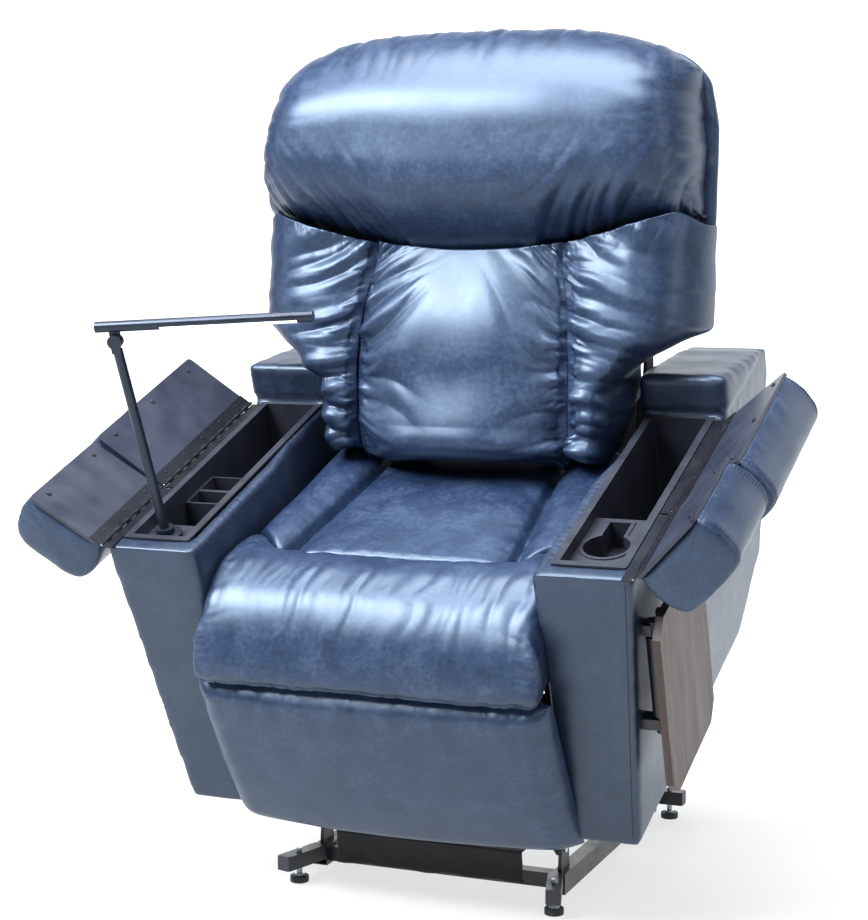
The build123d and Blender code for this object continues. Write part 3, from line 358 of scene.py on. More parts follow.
def soft_copy(node, name, material, rounds):
    """A CAD solid remeshed finely with its edges softened."""
    source = frame["nodes"][node]
    obj = bpy.data.objects.new(name, source.data.copy())
    bpy.context.scene.collection.objects.link(obj)
    obj.data.materials.clear()
    obj.data.materials.append(material)
    remesh = obj.modifiers.new("remesh", "REMESH")
    remesh.mode = "VOXEL"
    remesh.voxel_size = VOXEL * MM
    relax = obj.modifiers.new("relax", "SMOOTH")
    relax.factor = 0.5
    relax.iterations = rounds
    depsgraph = bpy.context.evaluated_depsgraph_get()
    shape = bpy.data.meshes.new_from_object(obj.evaluated_get(depsgraph))
    obj.modifiers.clear()
    obj.data = shape
    shape.shade_smooth()
    return obj


def mesh_arrays(obj):
    """Vertex places and normals of an object's mesh."""
    mesh = obj.data
    points = np.zeros(len(mesh.vertices) * 3)
    mesh.vertices.foreach_get("co", points)
    normals = np.zeros(len(mesh.vertices) * 3)
    mesh.vertices.foreach_get("normal", normals)
    return points.reshape(-1, 3), normals.reshape(-1, 3)


def set_points(obj, points):
    """Move an object's vertices to new places."""
    obj.data.vertices.foreach_set("co", points.ravel())
    obj.data.update()


# -------- materials


def srgb(red, green, blue):
    """Linear colour of an 8-bit sRGB colour."""
    parts = np.array([red, green, blue]) / 255
    linear = np.where(parts <= 0.04045, parts / 12.92, ((parts + 0.055) / 1.055) ** 2.4)
    return (*linear, 1.0)


def set_inputs(node, values):
    """Plain values on a node's own inputs."""
    for name, value in values.items():
        node.inputs[name].default_value = value


def new_material(name):
    """A material with its node tree, shader and object coordinates."""
    material = bpy.data.materials.new(name)
    material.use_nodes = True
    tree = material.node_tree
    shader = tree.nodes["Principled BSDF"]
    coords = tree.nodes.new("ShaderNodeTexCoord")
    return material, tree, shader, coords.outputs["Object"]


def add_node(tree, kind, vector, values):
    """A node fed by a vector, with plain values on its other inputs."""
    node = tree.nodes.new(kind)
    set_inputs(node, values)
    tree.links.new(vector, node.inputs["Vector"])
    return node


def add_noise(tree, vector, scale, detail=3.0, stretch=None, distortion=0.0):
    """A noise texture, stretched along the axes if asked."""
    if stretch:
        vector = add_node(tree, "ShaderNodeMapping", vector, {"Scale": stretch}).outputs["Vector"]
    values = {"Scale": scale, "Detail": detail, "Distortion": distortion}
    return add_node(tree, "ShaderNodeTexNoise", vector, values).outputs["Fac"]


def add_ramp(tree, value, stops):
    """A colour ramp over a value."""
    ramp = tree.nodes.new("ShaderNodeValToRGB")
    elements = ramp.color_ramp.elements
    while len(elements) < len(stops):
        elements.new(0.5)
    for element, (place, colour) in zip(elements, stops):
        element.position = place
        element.color = colour
    tree.links.new(value, ramp.inputs["Fac"])
    return ramp.outputs["Color"]


def add_range(tree, value, low, high, start=0.3, end=0.7):
    """A value mapped from start..end to low..high."""
    node = tree.nodes.new("ShaderNodeMapRange")
    set_inputs(node, {"From Min": start, "From Max": end, "To Min": low, "To Max": high})
    tree.links.new(value, node.inputs["Value"])
    return node.outputs["Result"]


def add_bump(tree, height, strength, distance, normal=None):
    """A bump from a height of 0 to 1, which stands for a distance in millimetres."""
    node = tree.nodes.new("ShaderNodeBump")
    set_inputs(node, {"Strength": strength, "Distance": distance * MM})
    tree.links.new(height, node.inputs["Height"])
    if normal is not None:
        tree.links.new(normal, node.inputs["Normal"])
    return node.outputs["Normal"]


def add_cells(tree, vector, scale):
    """Cell distances of a Voronoi texture."""
    return add_node(tree, "ShaderNodeTexVoronoi", vector, {"Scale": scale}).outputs["Distance"]


def add_wave(tree, vector, direction, scale):
    """Parallel waves across one axis."""
    node = add_node(tree, "ShaderNodeTexWave", vector, {"Scale": scale})
    node.bands_direction = direction
    return node.outputs["Fac"]


CLOUD_SCALE = 20
SPECK_SCALE = 130
SPECK_SHARE = 0.45


def link_shader(tree, shader, colour, rough, normal):
    """Link a material's colour, roughness and bump to its shader."""
    for name, source in (("Base Color", colour), ("Roughness", rough), ("Normal", normal)):
        tree.links.new(source, shader.inputs[name])


def leather(name, blue, worn, rough):
    """Waxed upholstery leather: navy clouded with warm grey, pebble grain and faint creases."""
    material, tree, shader, place = new_material(name)
    cloud = add_noise(tree, place, CLOUD_SCALE, 7, distortion=0.4)
    speck = add_noise(tree, place, SPECK_SCALE, 5)
    mix = tree.nodes.new("ShaderNodeMix")
    mix.data_type = "FLOAT"
    mix.inputs[0].default_value = SPECK_SHARE
    tree.links.new(cloud, mix.inputs[2])
    tree.links.new(speck, mix.inputs[3])
    deep = tuple(c * 0.66 for c in blue[:3]) + (1.0,)
    colour = add_ramp(tree, mix.outputs[0], ((0.37, deep), (0.5, blue), (0.64, worn)))
    gloss = add_range(tree, mix.outputs[0], rough - 0.05, rough + 0.1)
    pebble = add_bump(tree, add_cells(tree, place, 620), 0.35, 0.12)
    creases = add_noise(tree, place, 34, 6, distortion=1.4)
    link_shader(tree, shader, colour, gloss, add_bump(tree, creases, 0.5, 0.5, pebble))
    wax = {"Specular IOR Level": 0.7, "Specular Tint": (0.62, 0.82, 1.0, 1.0), "Metallic": 0.12}
    coat = {"Coat Weight": 0.25, "Coat Roughness": 0.3, "Coat Tint": (0.86, 0.93, 1.0, 1.0)}
    set_inputs(shader, {**wax, **coat})
    return material


def moulded(name, colour, rough, grain=900, deep=0.06, metallic=0.0):
    """Fine-textured plastic, paint or metal with uneven gloss; grain cells are deep in mm."""
    material, tree, shader, place = new_material(name)
    wear = add_noise(tree, place, 22, 5)
    lighter = tuple(min(1.0, c * 1.35 + 0.002) for c in colour[:3]) + (1.0,)
    shades = add_ramp(tree, wear, ((0.3, colour), (0.75, lighter)))
    gloss = add_range(tree, wear, rough - 0.06, rough + 0.08)
    bump = add_bump(tree, add_cells(tree, place, grain), 0.4, deep)
    link_shader(tree, shader, shades, gloss, bump)
    set_inputs(shader, {"Metallic": metallic})
    return material


PAD_TOP = 0.0112


def zoned_foot():
    """Black rubber foot pad below a bright zinc stud."""
    material, tree, shader, place = new_material("foot")
    split = tree.nodes.new("ShaderNodeSeparateXYZ")
    tree.links.new(place, split.inputs["Vector"])
    above = tree.nodes.new("ShaderNodeMath")
    above.operation = "GREATER_THAN"
    above.inputs[1].default_value = PAD_TOP
    tree.links.new(split.outputs["Z"], above.inputs[0])
    stud = above.outputs[0]
    colour = add_ramp(tree, stud, ((0.0, srgb(24, 24, 26)), (1.0, srgb(186, 196, 202))))
    thread = add_bump(tree, add_wave(tree, place, "Z", 220), 0.5, 0.5)
    link_shader(tree, shader, colour, add_range(tree, stud, 0.55, 0.28, 0, 1), thread)
    tree.links.new(add_range(tree, stud, 0.0, 1.0, 0, 1), shader.inputs["Metallic"])
    return material


GRAIN_TILT = radians(19.6)  # the chair's forward tip as it stands


def walnut():
    """Dark walnut laminate with straight grain that runs up the folded table."""
    material, tree, shader, place = new_material("walnut")
    turned = add_node(tree, "ShaderNodeMapping", place, {"Rotation": (-GRAIN_TILT, 0, 0)})
    place = turned.outputs["Vector"]
    grain = add_noise(tree, place, 26, 7, stretch=(1, 1, 0.06), distortion=0.25)
    pores = add_noise(tree, place, 260, 5, stretch=(1, 1, 0.04))
    stops = ((0.3, srgb(40, 27, 23)), (0.5, srgb(62, 45, 38)), (0.72, srgb(84, 64, 55)))
    colour, gloss = add_ramp(tree, grain, stops), add_range(tree, pores, 0.42, 0.58)
    link_shader(tree, shader, colour, gloss, add_bump(tree, pores, 0.35, 0.12))
    return material


def plywood_painted_shade():
    """Plywood of the hidden frame, coloured near black as painted shade for the dark gap beside the footrest where
    it shows.
    """
    material, tree, shader, place = new_material("plywood_painted_shade")
    grain = add_noise(tree, place, 8, 7, stretch=(1, 5, 9))
    stops = ((0.3, srgb(30, 27, 28)), (0.7, srgb(46, 41, 40)))
    colour, gloss = add_ramp(tree, grain, stops), add_range(tree, grain, 0.6, 0.75)
    link_shader(tree, shader, colour, gloss, add_bump(tree, grain, 0.3, 0.3))
    return material


def woven(name, colour):
    """Thin black woven cloth."""
    material, tree, shader, place = new_material(name)
    mix = tree.nodes.new("ShaderNodeMath")
    mix.operation = "MAXIMUM"
    for socket, direction in enumerate("XZ"):
        tree.links.new(add_wave(tree, place, direction, 260), mix.inputs[socket])
    soft = add_noise(tree, place, 30, 4)
    lighter = tuple(c * 1.8 + 0.002 for c in colour[:3]) + (1.0,)
    shades = add_ramp(tree, soft, ((0.3, colour), (0.75, lighter)))
    gloss = add_range(tree, soft, 0.8, 0.92)
    link_shader(tree, shader, shades, gloss, add_bump(tree, mix.outputs[0], 0.5, 0.12))
    set_inputs(shader, {"Sheen Weight": 0.25})
    return material


def opal_painted_glow():
    """White diffuser of the lamp, with a faint painted glow that keeps it bright white."""
    material, tree, shader, place = new_material("opal_painted_glow")
    soft = add_noise(tree, place, 40, 3)
    stops = ((0.3, srgb(236, 240, 246)), (0.7, srgb(250, 252, 255)))
    tree.links.new(add_ramp(tree, soft, stops), shader.inputs["Base Color"])
    # The emission paints a faint glow on the lens; the lamp holds no light.
    glow = {"Emission Color": (0.95, 0.97, 1.0, 1.0), "Emission Strength": 0.25}
    set_inputs(shader, {"Roughness": 0.35, **glow})
    return material


LEATHER = leather("leather_navy", srgb(27, 41, 68), srgb(46, 57, 80), 0.42)
# A second copy of the navy leather, greyer and less blue, whose colour paints the flatter light and weaker blue
# sheen on the arms and the rear panel.
FLAT_LIGHT_ARM_LEATHER = leather("leather_navy_painted_flat_light", srgb(32, 41, 62), srgb(45, 51, 67), 0.42)
THREAD = moulded("thread_navy", srgb(38, 48, 74), 0.6, 2400, 0.05)
SEAM = moulded("seam_shadow", srgb(16, 22, 36), 0.7)
HINGE = moulded("hinge_black", srgb(26, 27, 34), 0.3, 1200, 0.03, 0.4)
ZINC = moulded("zinc", srgb(186, 192, 198), 0.3, 1500, 0.03, 1.0)
DUST = woven("dust_cloth", srgb(14, 14, 18))

NODE_MATERIALS = {
    "black_steel": moulded("steel_black", srgb(24, 25, 31), 0.36, 700, 0.05),
    "zinc_steel": ZINC,
    "black_plastic": moulded("plastic_black", srgb(30, 32, 42), 0.42),
    "foot_rubber": zoned_foot(),
    "dust_cloth": DUST,
    "frame_wood": plywood_painted_shade(),
    "leather": LEATHER,
    "lid_board": moulded("board_grey", srgb(32, 36, 50), 0.36, 1400, 0.04),
    "hinge_steel": HINGE,
    "lamp_metal": moulded("lamp_metal", srgb(38, 44, 56), 0.3, 1600, 0.03, 0.6),
    "lamp_lens": opal_painted_glow(),
    "table_laminate": walnut(),
}
for part in frame["record"]["subparts"]:
    node = frame["nodes"][part["node"]]
    node.data.materials.clear()
    node.data.materials.append(NODE_MATERIALS[part["material_slot"]])


def finish_piece(obj, body, nodes=()):
    """Put a piece on its body, and hide the CAD parts that it stands for."""
    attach(obj, body)
    if nodes:
        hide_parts(*nodes)
    return obj


# -------- back cushions

BACK_DEEP = 96.0
WING_DEEP = 110.0
SHELL_FRONT = 113.0


def against_shell(points, deep):
    """Border points of a back cushion carried straight back to the outside shell."""
    return points + back(0.0, 0.0, SHELL_FRONT) - back(0.0, 0.0, deep)


def smile(x):
    """Height of the curved seam under the head pillow."""
    return SMILE_MID + SMILE_RISE * (np.asarray(x, float) / BACK_HALF) ** 2


def seam_x(tall):
    """Half-width of the lower back panel between its gathered seams."""
    return np.interp(tall, (-34, 60, 160, 260, 352), (186, 190, 191, 184, 166))


def seam_depth(tall):
    """Depth of the back's vertical seams, which swell forward at its middle."""
    return 4 - 22 * np.sin(np.clip((tall + 40) / 390, 0, 1) * pi)


PILLOW_SWELL = 78.0  # how far the pillow stands in front of the back's seams
PILLOW_SHIFT = -7.0
PILLOW_TOP_HALF = 398.0


def make_pillow():
    """Head pillow: a full bolster over the curved seam, gathered below and at its sides."""
    across, across_high = run_samples(2 * BACK_HALF, 160, 300, 120, 120, 2.6)
    up, up_high = run_samples(360, 160, 180, 150, 165, 2.1)
    a, b = np.meshgrid(across, up, indexing="ij")
    high = across_high[:, None] * up_high[None, :]
    half = BACK_HALF - 10 - 16 * smooth_step(b, 0.3, 1.0)
    x = (a * 2 - 1) * half + PILLOW_SHIFT
    out = np.abs(x) / PILLOW_TOP_HALF
    low = smile(x) - 6
    top = BACK_TOP + 2 - 88 * out**4.6 - 12 * out**2
    tall = low + (top - low) * b
    crown = 26 * ((b - 0.45) / 0.6) ** 2 + 26 * (np.abs(x) / BACK_HALF) ** 2.2 - PILLOW_SWELL
    depth = BACK_DEEP + (crown - BACK_DEEP) * high
    from_low = (tall - low) + (1 - up_high[None, :]) * 30
    from_side = (1 - np.abs(a * 2 - 1)) * BACK_HALF + (1 - across_high[:, None]) * 60
    from_top = (1 - b) * 350
    corner = 0.3 + 0.9 * smooth_step(np.abs(x), 70, 170)
    slant = x - np.sign(x) * 0.8 * np.clip(from_low, 0, 200) * smooth_step(np.abs(x), 30, 150)
    crease = 1 + 1.3 * np.exp(-(((np.abs(x) - 185) / 80) ** 2))
    slant = np.where(slant < 0, 7 - slant * 1.06, slant)  # the two sides' folds fall differently
    move = gathers(slant, from_low - 14, height=11.0, reach=56, seed=11) * corner * crease
    move += gathers(tall, from_side - 20, height=6.0, reach=62, seed=23)
    move += gathers(x, from_top - 10, height=3.0, reach=46, seed=37)
    move += noise(x / 150, tall / 120, 5) * 4.0
    points = moved_out(back(x, tall, depth), FRONT, move)
    return add_shell("head_pillow_cover", points, against_shell(points, BACK_DEEP), LEATHER)


BACK_LOW, LOWER_TALL = -42.0, 384.0
PANEL_HALF = 190.0
WING_LOW = -28.0
EDGE_LOW, EDGE_HIGH = 258.0, 280.0  # a wing's outer edge between the arms
SEAM_DEEP, SEAM_WIDE = 11.0, 7.0  # the valley at each gathered seam


def make_lower_back():
    """Gathered lower back panel between the two vertical seams."""
    across = np.linspace(0, 1, 190)
    up, up_high = run_samples(376, 110, 190, 80, 0, 2.2)
    a, b = np.meshgrid(across, up, indexing="ij")
    high = np.broadcast_to(up_high[None, :], a.shape)
    side = a * 2 - 1
    x = side * seam_x(BACK_LOW + b * LOWER_TALL)
    tall = BACK_LOW + (smile(x) + 10 - BACK_LOW) * b
    bulge = 1 - np.clip((tall - 150) / 215, -0.45, 1) ** 2
    swell = 36 * bulge + 46 * smooth_step(-tall, -150, 20)
    crown = seam_depth(tall) - swell * (1 - np.abs(side) ** 2.3)
    valley = SEAM_DEEP * np.exp(-((1 - np.abs(side)) * PANEL_HALF / SEAM_WIDE) ** 2)
    depth = BACK_DEEP + (crown + valley - BACK_DEEP) * high
    tall = tall + 0.43 * (depth - crown) * np.clip(1 - b * 4, 0, 1)
    from_seam = (1 - np.abs(side)) * seam_x(tall)
    hand = np.where(side > 0, 0, 1400)  # gives each side its own folds
    rise = -0.3 + 1.2 * smooth_step(tall, 30, 330)
    start = tall - rise * from_seam
    calm = smooth_step(np.abs(side), 0.1, 0.55)
    move = gathers(start + hand, from_seam, height=16.0, reach=96, seed=51)
    move *= smooth_step(from_seam, 0, 9) * calm
    outer = smooth_step(np.abs(side), 0.5, 0.95)
    move += gathers(x, smile(x) - tall, height=3.2, reach=52, seed=61) * outer
    move += noise(x / 110, tall / 90, 15) * 2.6
    points = moved_out(back(x, tall, depth), FRONT, move)
    rear = back(x, tall, np.full_like(x, BACK_DEEP))
    return add_shell("lower_back_cover", points, rear, LEATHER)


def wing_edge(tall):
    """Outer edge of a wing: between the arms low down, curving out over them above."""
    between_arms = EDGE_LOW + (EDGE_HIGH - EDGE_LOW) * smooth_step(tall, -30, 76)
    return between_arms + (BACK_HALF - EDGE_HIGH) * smooth_step(tall, 104, 214)


CORNER_BACK = 46.0


def make_wing(side, name):
    """Side wing of the back, gathered into its seam and standing over the arm's rear block."""
    across, across_high = run_samples(236, 110, 140, 0, 120, 2.0)
    up, up_high = run_samples(400, 110, 200, 60, 0, 2.3)
    a, b = np.meshgrid(across, up, indexing="ij")
    high = across_high[:, None] * up_high[None, :]
    tall = WING_LOW + (smile(BACK_HALF * 0.72) - WING_LOW) * b
    inner = seam_x(tall)
    x = inner + (wing_edge(tall) - inner) * a
    top = smile(x) + 8 - 34 * smooth_step(x, 344, BACK_HALF) ** 2
    tall = WING_LOW + (top - WING_LOW) * b
    near_seam = 1 - smooth_step(a, 0.1, 0.9)
    crown = 4 + (seam_depth(tall) - 4) * near_seam
    crown -= 26 * np.sin(a**0.75 * pi * 0.62) + 6 * np.sin(b * pi)
    valley = SEAM_DEEP * np.exp(-(((x - inner) / SEAM_WIDE) ** 2))
    # The outer lower corner stands back, so that the closed rear lid passes in front of it.
    corner = CORNER_BACK * smooth_step(x, 278, 330) * (1 - smooth_step(tall, 120, 200))
    depth = WING_DEEP + (crown + valley + corner - WING_DEEP) * high
    tall = tall + 0.45 * (depth - crown) * (1 - smooth_step(tall, 60, 290))
    from_seam = x - inner
    seed = 81 if side > 0 else 91
    start = tall + from_seam * (0.05 + 0.4 * smooth_step(tall, 60, 330))
    fade = smooth_step(from_seam, 0, 9) * (1 - 0.5 * smooth_step(a, 0.7, 1))
    move = gathers(start, from_seam, height=16.0, reach=106, seed=seed) * fade
    move += gathers(x, smile(x) - tall, height=3.4, reach=50, seed=seed + 2)
    from_side = (1 - a) * 220 + (1 - across_high[:, None]) * 60
    move += gathers(tall, from_side - 14, height=5.0, reach=50, seed=seed + 4)
    move += noise(x / 100, tall / 110, seed + 8) * 2.6
    points = moved_out(back(x * side, tall, depth), FRONT, move)
    return add_shell(f"back_wing_{name}", points, against_shell(points, WING_DEEP), LEATHER)


finish_piece(make_pillow(), "back", ("head_pillow",))
lower_back = finish_piece(make_lower_back(), "back", ("back_lower_cushion",))
wings = [make_wing(side, name) for side, name in SIDES]
finish_piece(wings[0], "back", ("back_wings",))
finish_piece(wings[1], "back", ())

back_shell = soft_copy("back_cover", "back_shell", LEATHER, 10)
finish_piece(back_shell, "back", ("back_cover",))

# -------- seat and roll

SEAT_FRONT, SEAT_REAR = 136.0, 560.0
SEAT_UNDER = 336.0


def seat_front(x):
    """Depth of the seam between the seat and the front roll."""
    return SEAT_FRONT + 52 * smooth_step(np.abs(x), 196, 262)


def seat_seam(y):
    """Half-width of the seat's centre panel."""
    return np.interp(y, (130, 447, 560), (193, 162, 158))


def make_seat():
    """Seat: a crowned centre panel between two full side bolsters."""
    across, across_high = run_samples(2 * CUSHION_HALF, 96, 240, 40, 40, 2.3)
    deep, deep_high = run_samples(430, 96, 140, 26, 20, 2.2)
    a, b = np.meshgrid(across, deep, indexing="ij")
    high = across_high[:, None] * deep_high[None, :]
    x = (a * 2 - 1) * CUSHION_HALF
    front = seat_front(x) - 10
    y = front + (SEAT_REAR - front) * b
    seam = seat_seam(y)
    off = np.abs(x) - seam
    hump = np.clip(np.sin(np.clip(b * 1.15 + 0.12, 0, 1) * pi), 0, 1) ** 0.6
    centre = 9 * np.clip(1 - (x / seam) ** 4, 0, 1) * hump
    bolster = 15 * np.clip(1 - ((off - 52) / 54) ** 2, 0, 1)
    valley = 14 * np.exp(-((off / 6.5) ** 2)) + 7 * np.exp(-((off / 24) ** 2))
    top = SEAT_TOP - 6 + np.where(off < 0, centre, bolster) - valley
    z = SEAT_UNDER + (top - SEAT_UNDER) * high
    from_front = y - front
    move = gathers(x, from_front - 4, height=2.6, reach=40, seed=101)
    move += folds(y + x * 0.2, np.abs(off), 46, 40, 107, 3) * 1.8
    move += noise(x / 120, y / 130, 25) * 2.6 + noise(x / 45, y / 60, 26) * 0.8
    points = moved_out(chair(x, y, z), up_dir, move)
    rear = chair(x, y, np.full_like(x, SEAT_UNDER - 2))
    return add_shell("seat_cover", points, rear, LEATHER)


def smooth_line(knots, count):
    """Evenly spaced points of a smooth open curve through a few knots, and how far along."""
    knots = np.asarray(knots, float)
    padded = np.concatenate([[2 * knots[0] - knots[1]], knots, [2 * knots[-1] - knots[-2]]])
    out = []
    for i in range(1, len(padded) - 2):
        p0, p1, p2, p3 = padded[i - 1 : i + 3]
        for t in np.linspace(0, 1, 40, endpoint=False):
            out.append(
                0.5 * (2 * p1 + (p2 - p0) * t + (2 * p0 - 5 * p1 + 4 * p2 - p3) * t**2
                       + (3 * p1 - p0 - 3 * p2 + p3) * t**3)
            )
    out = np.array([*out, knots[-1]])
    arc = np.concatenate([[0], np.cumsum(np.hypot(*np.diff(out, axis=0).T))])
    want = np.linspace(0, arc[-1], count)
    return np.stack([np.interp(want, arc, out[:, k]) for k in (0, 1)], axis=1), want


ROLL_SPREAD = 12.0
ROLL_MIDDLE = np.array([45.0, 375.0])
# Section of the roll, y and z, from the seat seam round the knee edge to the footrest.
ROLL_KNOTS = (
    (145, 416), (136, 431), (110, 440), (66, 441), (24, 426),
    (-8, 401), (-36, 365), (-59, 314), (-52, 290),
)


def make_roll():
    """Front roll of the seat, from the seat seam over the knee edge to the footrest."""
    across, scale = run_samples(2 * CUSHION_HALF, 110, 210, 24, 24, 2.7)
    line, arc = smooth_line(ROLL_KNOTS, 130)
    rings = []
    for place, size in zip(across, scale):
        x = (place * 2 - 1) * CUSHION_HALF
        section = line.copy()
        set_back = seat_front(x) - SEAT_FRONT
        section[:, 0] += set_back * smooth_step(-arc, -60, 0)
        section[:, 1] += 5.0 * smooth_step(abs(x), 120, 230) * smooth_step(-arc, -160, -20)
        under = np.array([(30, 289), (60, 330), (100, 334), (150 + set_back, 340)])
        loop = np.concatenate([section, under])
        squeezed = squeeze(loop, ROLL_MIDDLE, size)
        rings.append(np.concatenate([np.full((len(loop), 1), x), squeezed], axis=1))
    rings = np.array(rings)
    # In front of the arms the roll spreads a little past the gap between them.
    x, y, z = np.moveaxis(rings, -1, 0)
    spread = smooth_step(np.abs(x), 150, CUSHION_HALF) * smooth_step(-y, 6, 34)
    x = x + np.sign(x) * ROLL_SPREAD * spread
    points = chair(x, y, z)
    normal = outward_normals(points, FRONT, slice(30, 100))
    count = len(line)
    x = x[:, :count]
    down = np.broadcast_to(arc[None, :], x.shape)
    total = arc[-1]
    lean_in = x - np.sign(x) * 0.25 * np.clip(down, 0, 120) * smooth_step(np.abs(x), 40, 160)
    move = gathers(lean_in, down - 6, height=4.0, reach=64, seed=111)
    move += gathers(x, total - down - 3, height=3.2, reach=62, seed=117)
    from_side = CUSHION_HALF - np.abs(x)
    move += gathers(down, from_side - 10, height=2.4, reach=48, seed=121)
    middle_band = np.abs(down - total * 0.42)
    move += folds(x + down * 0.15, middle_band, 30, 96, 131, 7) * 2.2
    move += noise(x / 130, down / 90, 27) * 3.0
    move *= scale[:, None] ** 2
    points[:, :count] += normal[:, :count] * (move * MM)[..., None]
    return add_sweep("front_roll_cover", points, LEATHER)


FOOT_LONG, FOOT_THICK = 323.0, 40.0
FOOT_SWELL = 25.0
FOOT_HIGHEST = 284.0  # keeps the panel's upper edge under the roll


def make_footrest():
    """Padded footrest panel with a crowned face and a curved lower edge."""
    across, across_high = run_samples(2 * CUSHION_HALF, 44, 190, 44, 44, 2.1)
    down, down_high = run_samples(313, 44, 110, 26, 40, 2.1)
    a, b = np.meshgrid(across, down, indexing="ij")
    high = across_high[:, None] * down_high[None, :]
    x = (a * 2 - 1) * (CUSHION_HALF + 13)
    out = (x / CUSHION_HALF) ** 2
    run = 3 + (FOOT_LONG - 14 * out) * b
    crown = 5 - FOOT_SWELL * np.sin(np.clip(b, 0, 1) * pi) ** 0.6 * (1 - 0.55 * out)
    depth = FOOT_THICK + (crown - FOOT_THICK) * high
    lean = radians(FOOT_LEAN)
    y = FOOT_TOP[0] + run * sin(lean) + depth * cos(lean)
    z = FOOT_TOP[1] - run * cos(lean) + depth * sin(lean)
    z = np.minimum(z, FOOT_HIGHEST)
    move = gathers(x, run - 6, height=3.0, reach=50, seed=141)
    from_side = (1 - np.abs(a * 2 - 1)) * CUSHION_HALF
    move += gathers(run, from_side - 6, height=2.6, reach=40, seed=147)
    move += noise(x / 140, run / 110, 29) * 2.4 + noise(x / 50, run / 60, 30) * 0.7
    points = moved_out(chair(x, y, z), FRONT, move * high)
    y += (FOOT_THICK - depth) * cos(lean)
    z = np.minimum(z + (FOOT_THICK - depth) * sin(lean), FOOT_HIGHEST)
    return add_shell("footrest_cover", points, chair(x, y, z), LEATHER)


finish_piece(make_seat(), "seat", ("seat_cushion",))
finish_piece(make_roll(), "seat", ("front_roll",))
finish_piece(make_footrest(), "footrest_board", ("footrest_pad",))

# -------- arms and rear panel

ARM_SWELL = 14.0
BLOCK_PUFF = 5.0
ARM_BOTTOM_X, ARM_TOP_X = 393.0, 435.0  # the outer edge of an arm's front
SEAM_INSET = 12.0
for side, name in SIDES:
    arm = soft_copy(f"arm_{name}", f"arm_{name}_cover", FLAT_LIGHT_ARM_LEATHER, 22)
    points, normals = mesh_arrays(arm)
    x, y, z = to_chair(points)
    outside = smooth_step(np.abs(x), 380, 400) + smooth_step(-y, -30, -14)
    move = noise(y / 160, z / 140, 31) * 1.6 + noise(x / 60, z / 120, 33) * 0.8
    move += gathers(x + y, ARM_TOP - z, height=1.3, reach=30, seed=35) * np.clip(outside, 0, 1)
    move *= smooth_step(-z, 1 - ARM_TOP, 8 - ARM_TOP)
    block = smooth_step(z, ARM_TOP + 6, ARM_TOP + 20)  # the raised rear block
    puff = noise(x / 50, y / 60, 39) * 2.4 + gathers(x, y - 560, height=2.2, reach=40, seed=43)
    move += block * (BLOCK_PUFF + puff)
    # The inner walls swell towards the seat, and meet it, as far back as the back cushion.
    swell = smooth_step(-np.abs(x), -312, -293) * (1 - smooth_step(y, 300, 420))
    inward = np.array([-side * ARM_SWELL * MM, 0, 0]) * swell[:, None]
    set_points(arm, points + normals * (move * MM)[:, None] + inward)
    finish_piece(arm, "seat", (f"arm_{name}",))
    if name == "right":
        line_z = np.linspace(16, 486, 90)
        line_x = ARM_BOTTOM_X + (ARM_TOP_X - ARM_BOTTOM_X) * line_z / ARM_TOP - SEAM_INSET
        seam_points, _, _ = onto(surface_tree(arm), chair(line_x, -60, line_z), rear_dir)
        finish_piece(add_tube("arm_right_seam", seam_points, 0.7 * MM, SEAM), "seat")

rear_panel = soft_copy("rear_panel", "rear_panel_cover", FLAT_LIGHT_ARM_LEATHER, 4)
finish_piece(rear_panel, "seat", ("rear_panel",))

# -------- lids


FACING_STEPS = 7200


def lid_frame(name):
    """Hinge point at a lid's front end, directions to its free edge and through it, length."""
    hinge = np.array(joints[f"lid_{name}_close"]["pos_m"])
    board = np.array([v.co[:] for v in frame["nodes"][f"lid_{name}_board"].data.vertices])
    start, end = (board @ rear_dir).min(), (board @ rear_dir).max()
    flat = np.unique(np.round(board - np.outer(board @ rear_dir, rear_dir), 5), axis=0)
    turns = np.linspace(0, pi, FACING_STEPS, endpoint=False)[:, None]
    facings = np.cos(turns) * np.array([1.0, 0, 0]) + np.sin(turns) * up_dir
    # A board is thinnest through its face, whichever way the lid stands.
    through = facings[np.argmin(np.ptp(facings @ flat.T, axis=1))]
    middle = (flat.min(axis=0) + flat.max(axis=0)) / 2
    centre = middle - (hinge - rear_dir * (hinge @ rear_dir))
    through = through if through @ centre > 0 else -through
    along = centre - through * (centre @ through)
    along /= np.linalg.norm(along)
    base = hinge + rear_dir * (start - hinge @ rear_dir)
    return base, along, through, end - start


DOME_POINTS = 96
# Section of a pad, out from the hinge and up from the board's inner face.
DOME_KNOTS = (
    (3, 9), (-3, 30), (-4, 56), (2, 80), (20, 95), (71, 99),
    (118, 95), (138, 80), (145, 52), (145, 28), (141, 9),
)
PAD_UNDER = 8.4
PAD_MIDDLE = np.array([71.0, 46.0])
CAP_SEAM = 15.0  # in from each end of the pad
RAY_HEIGHT = 30.0
RAY_START = 0.2  # metres: well outside the pad


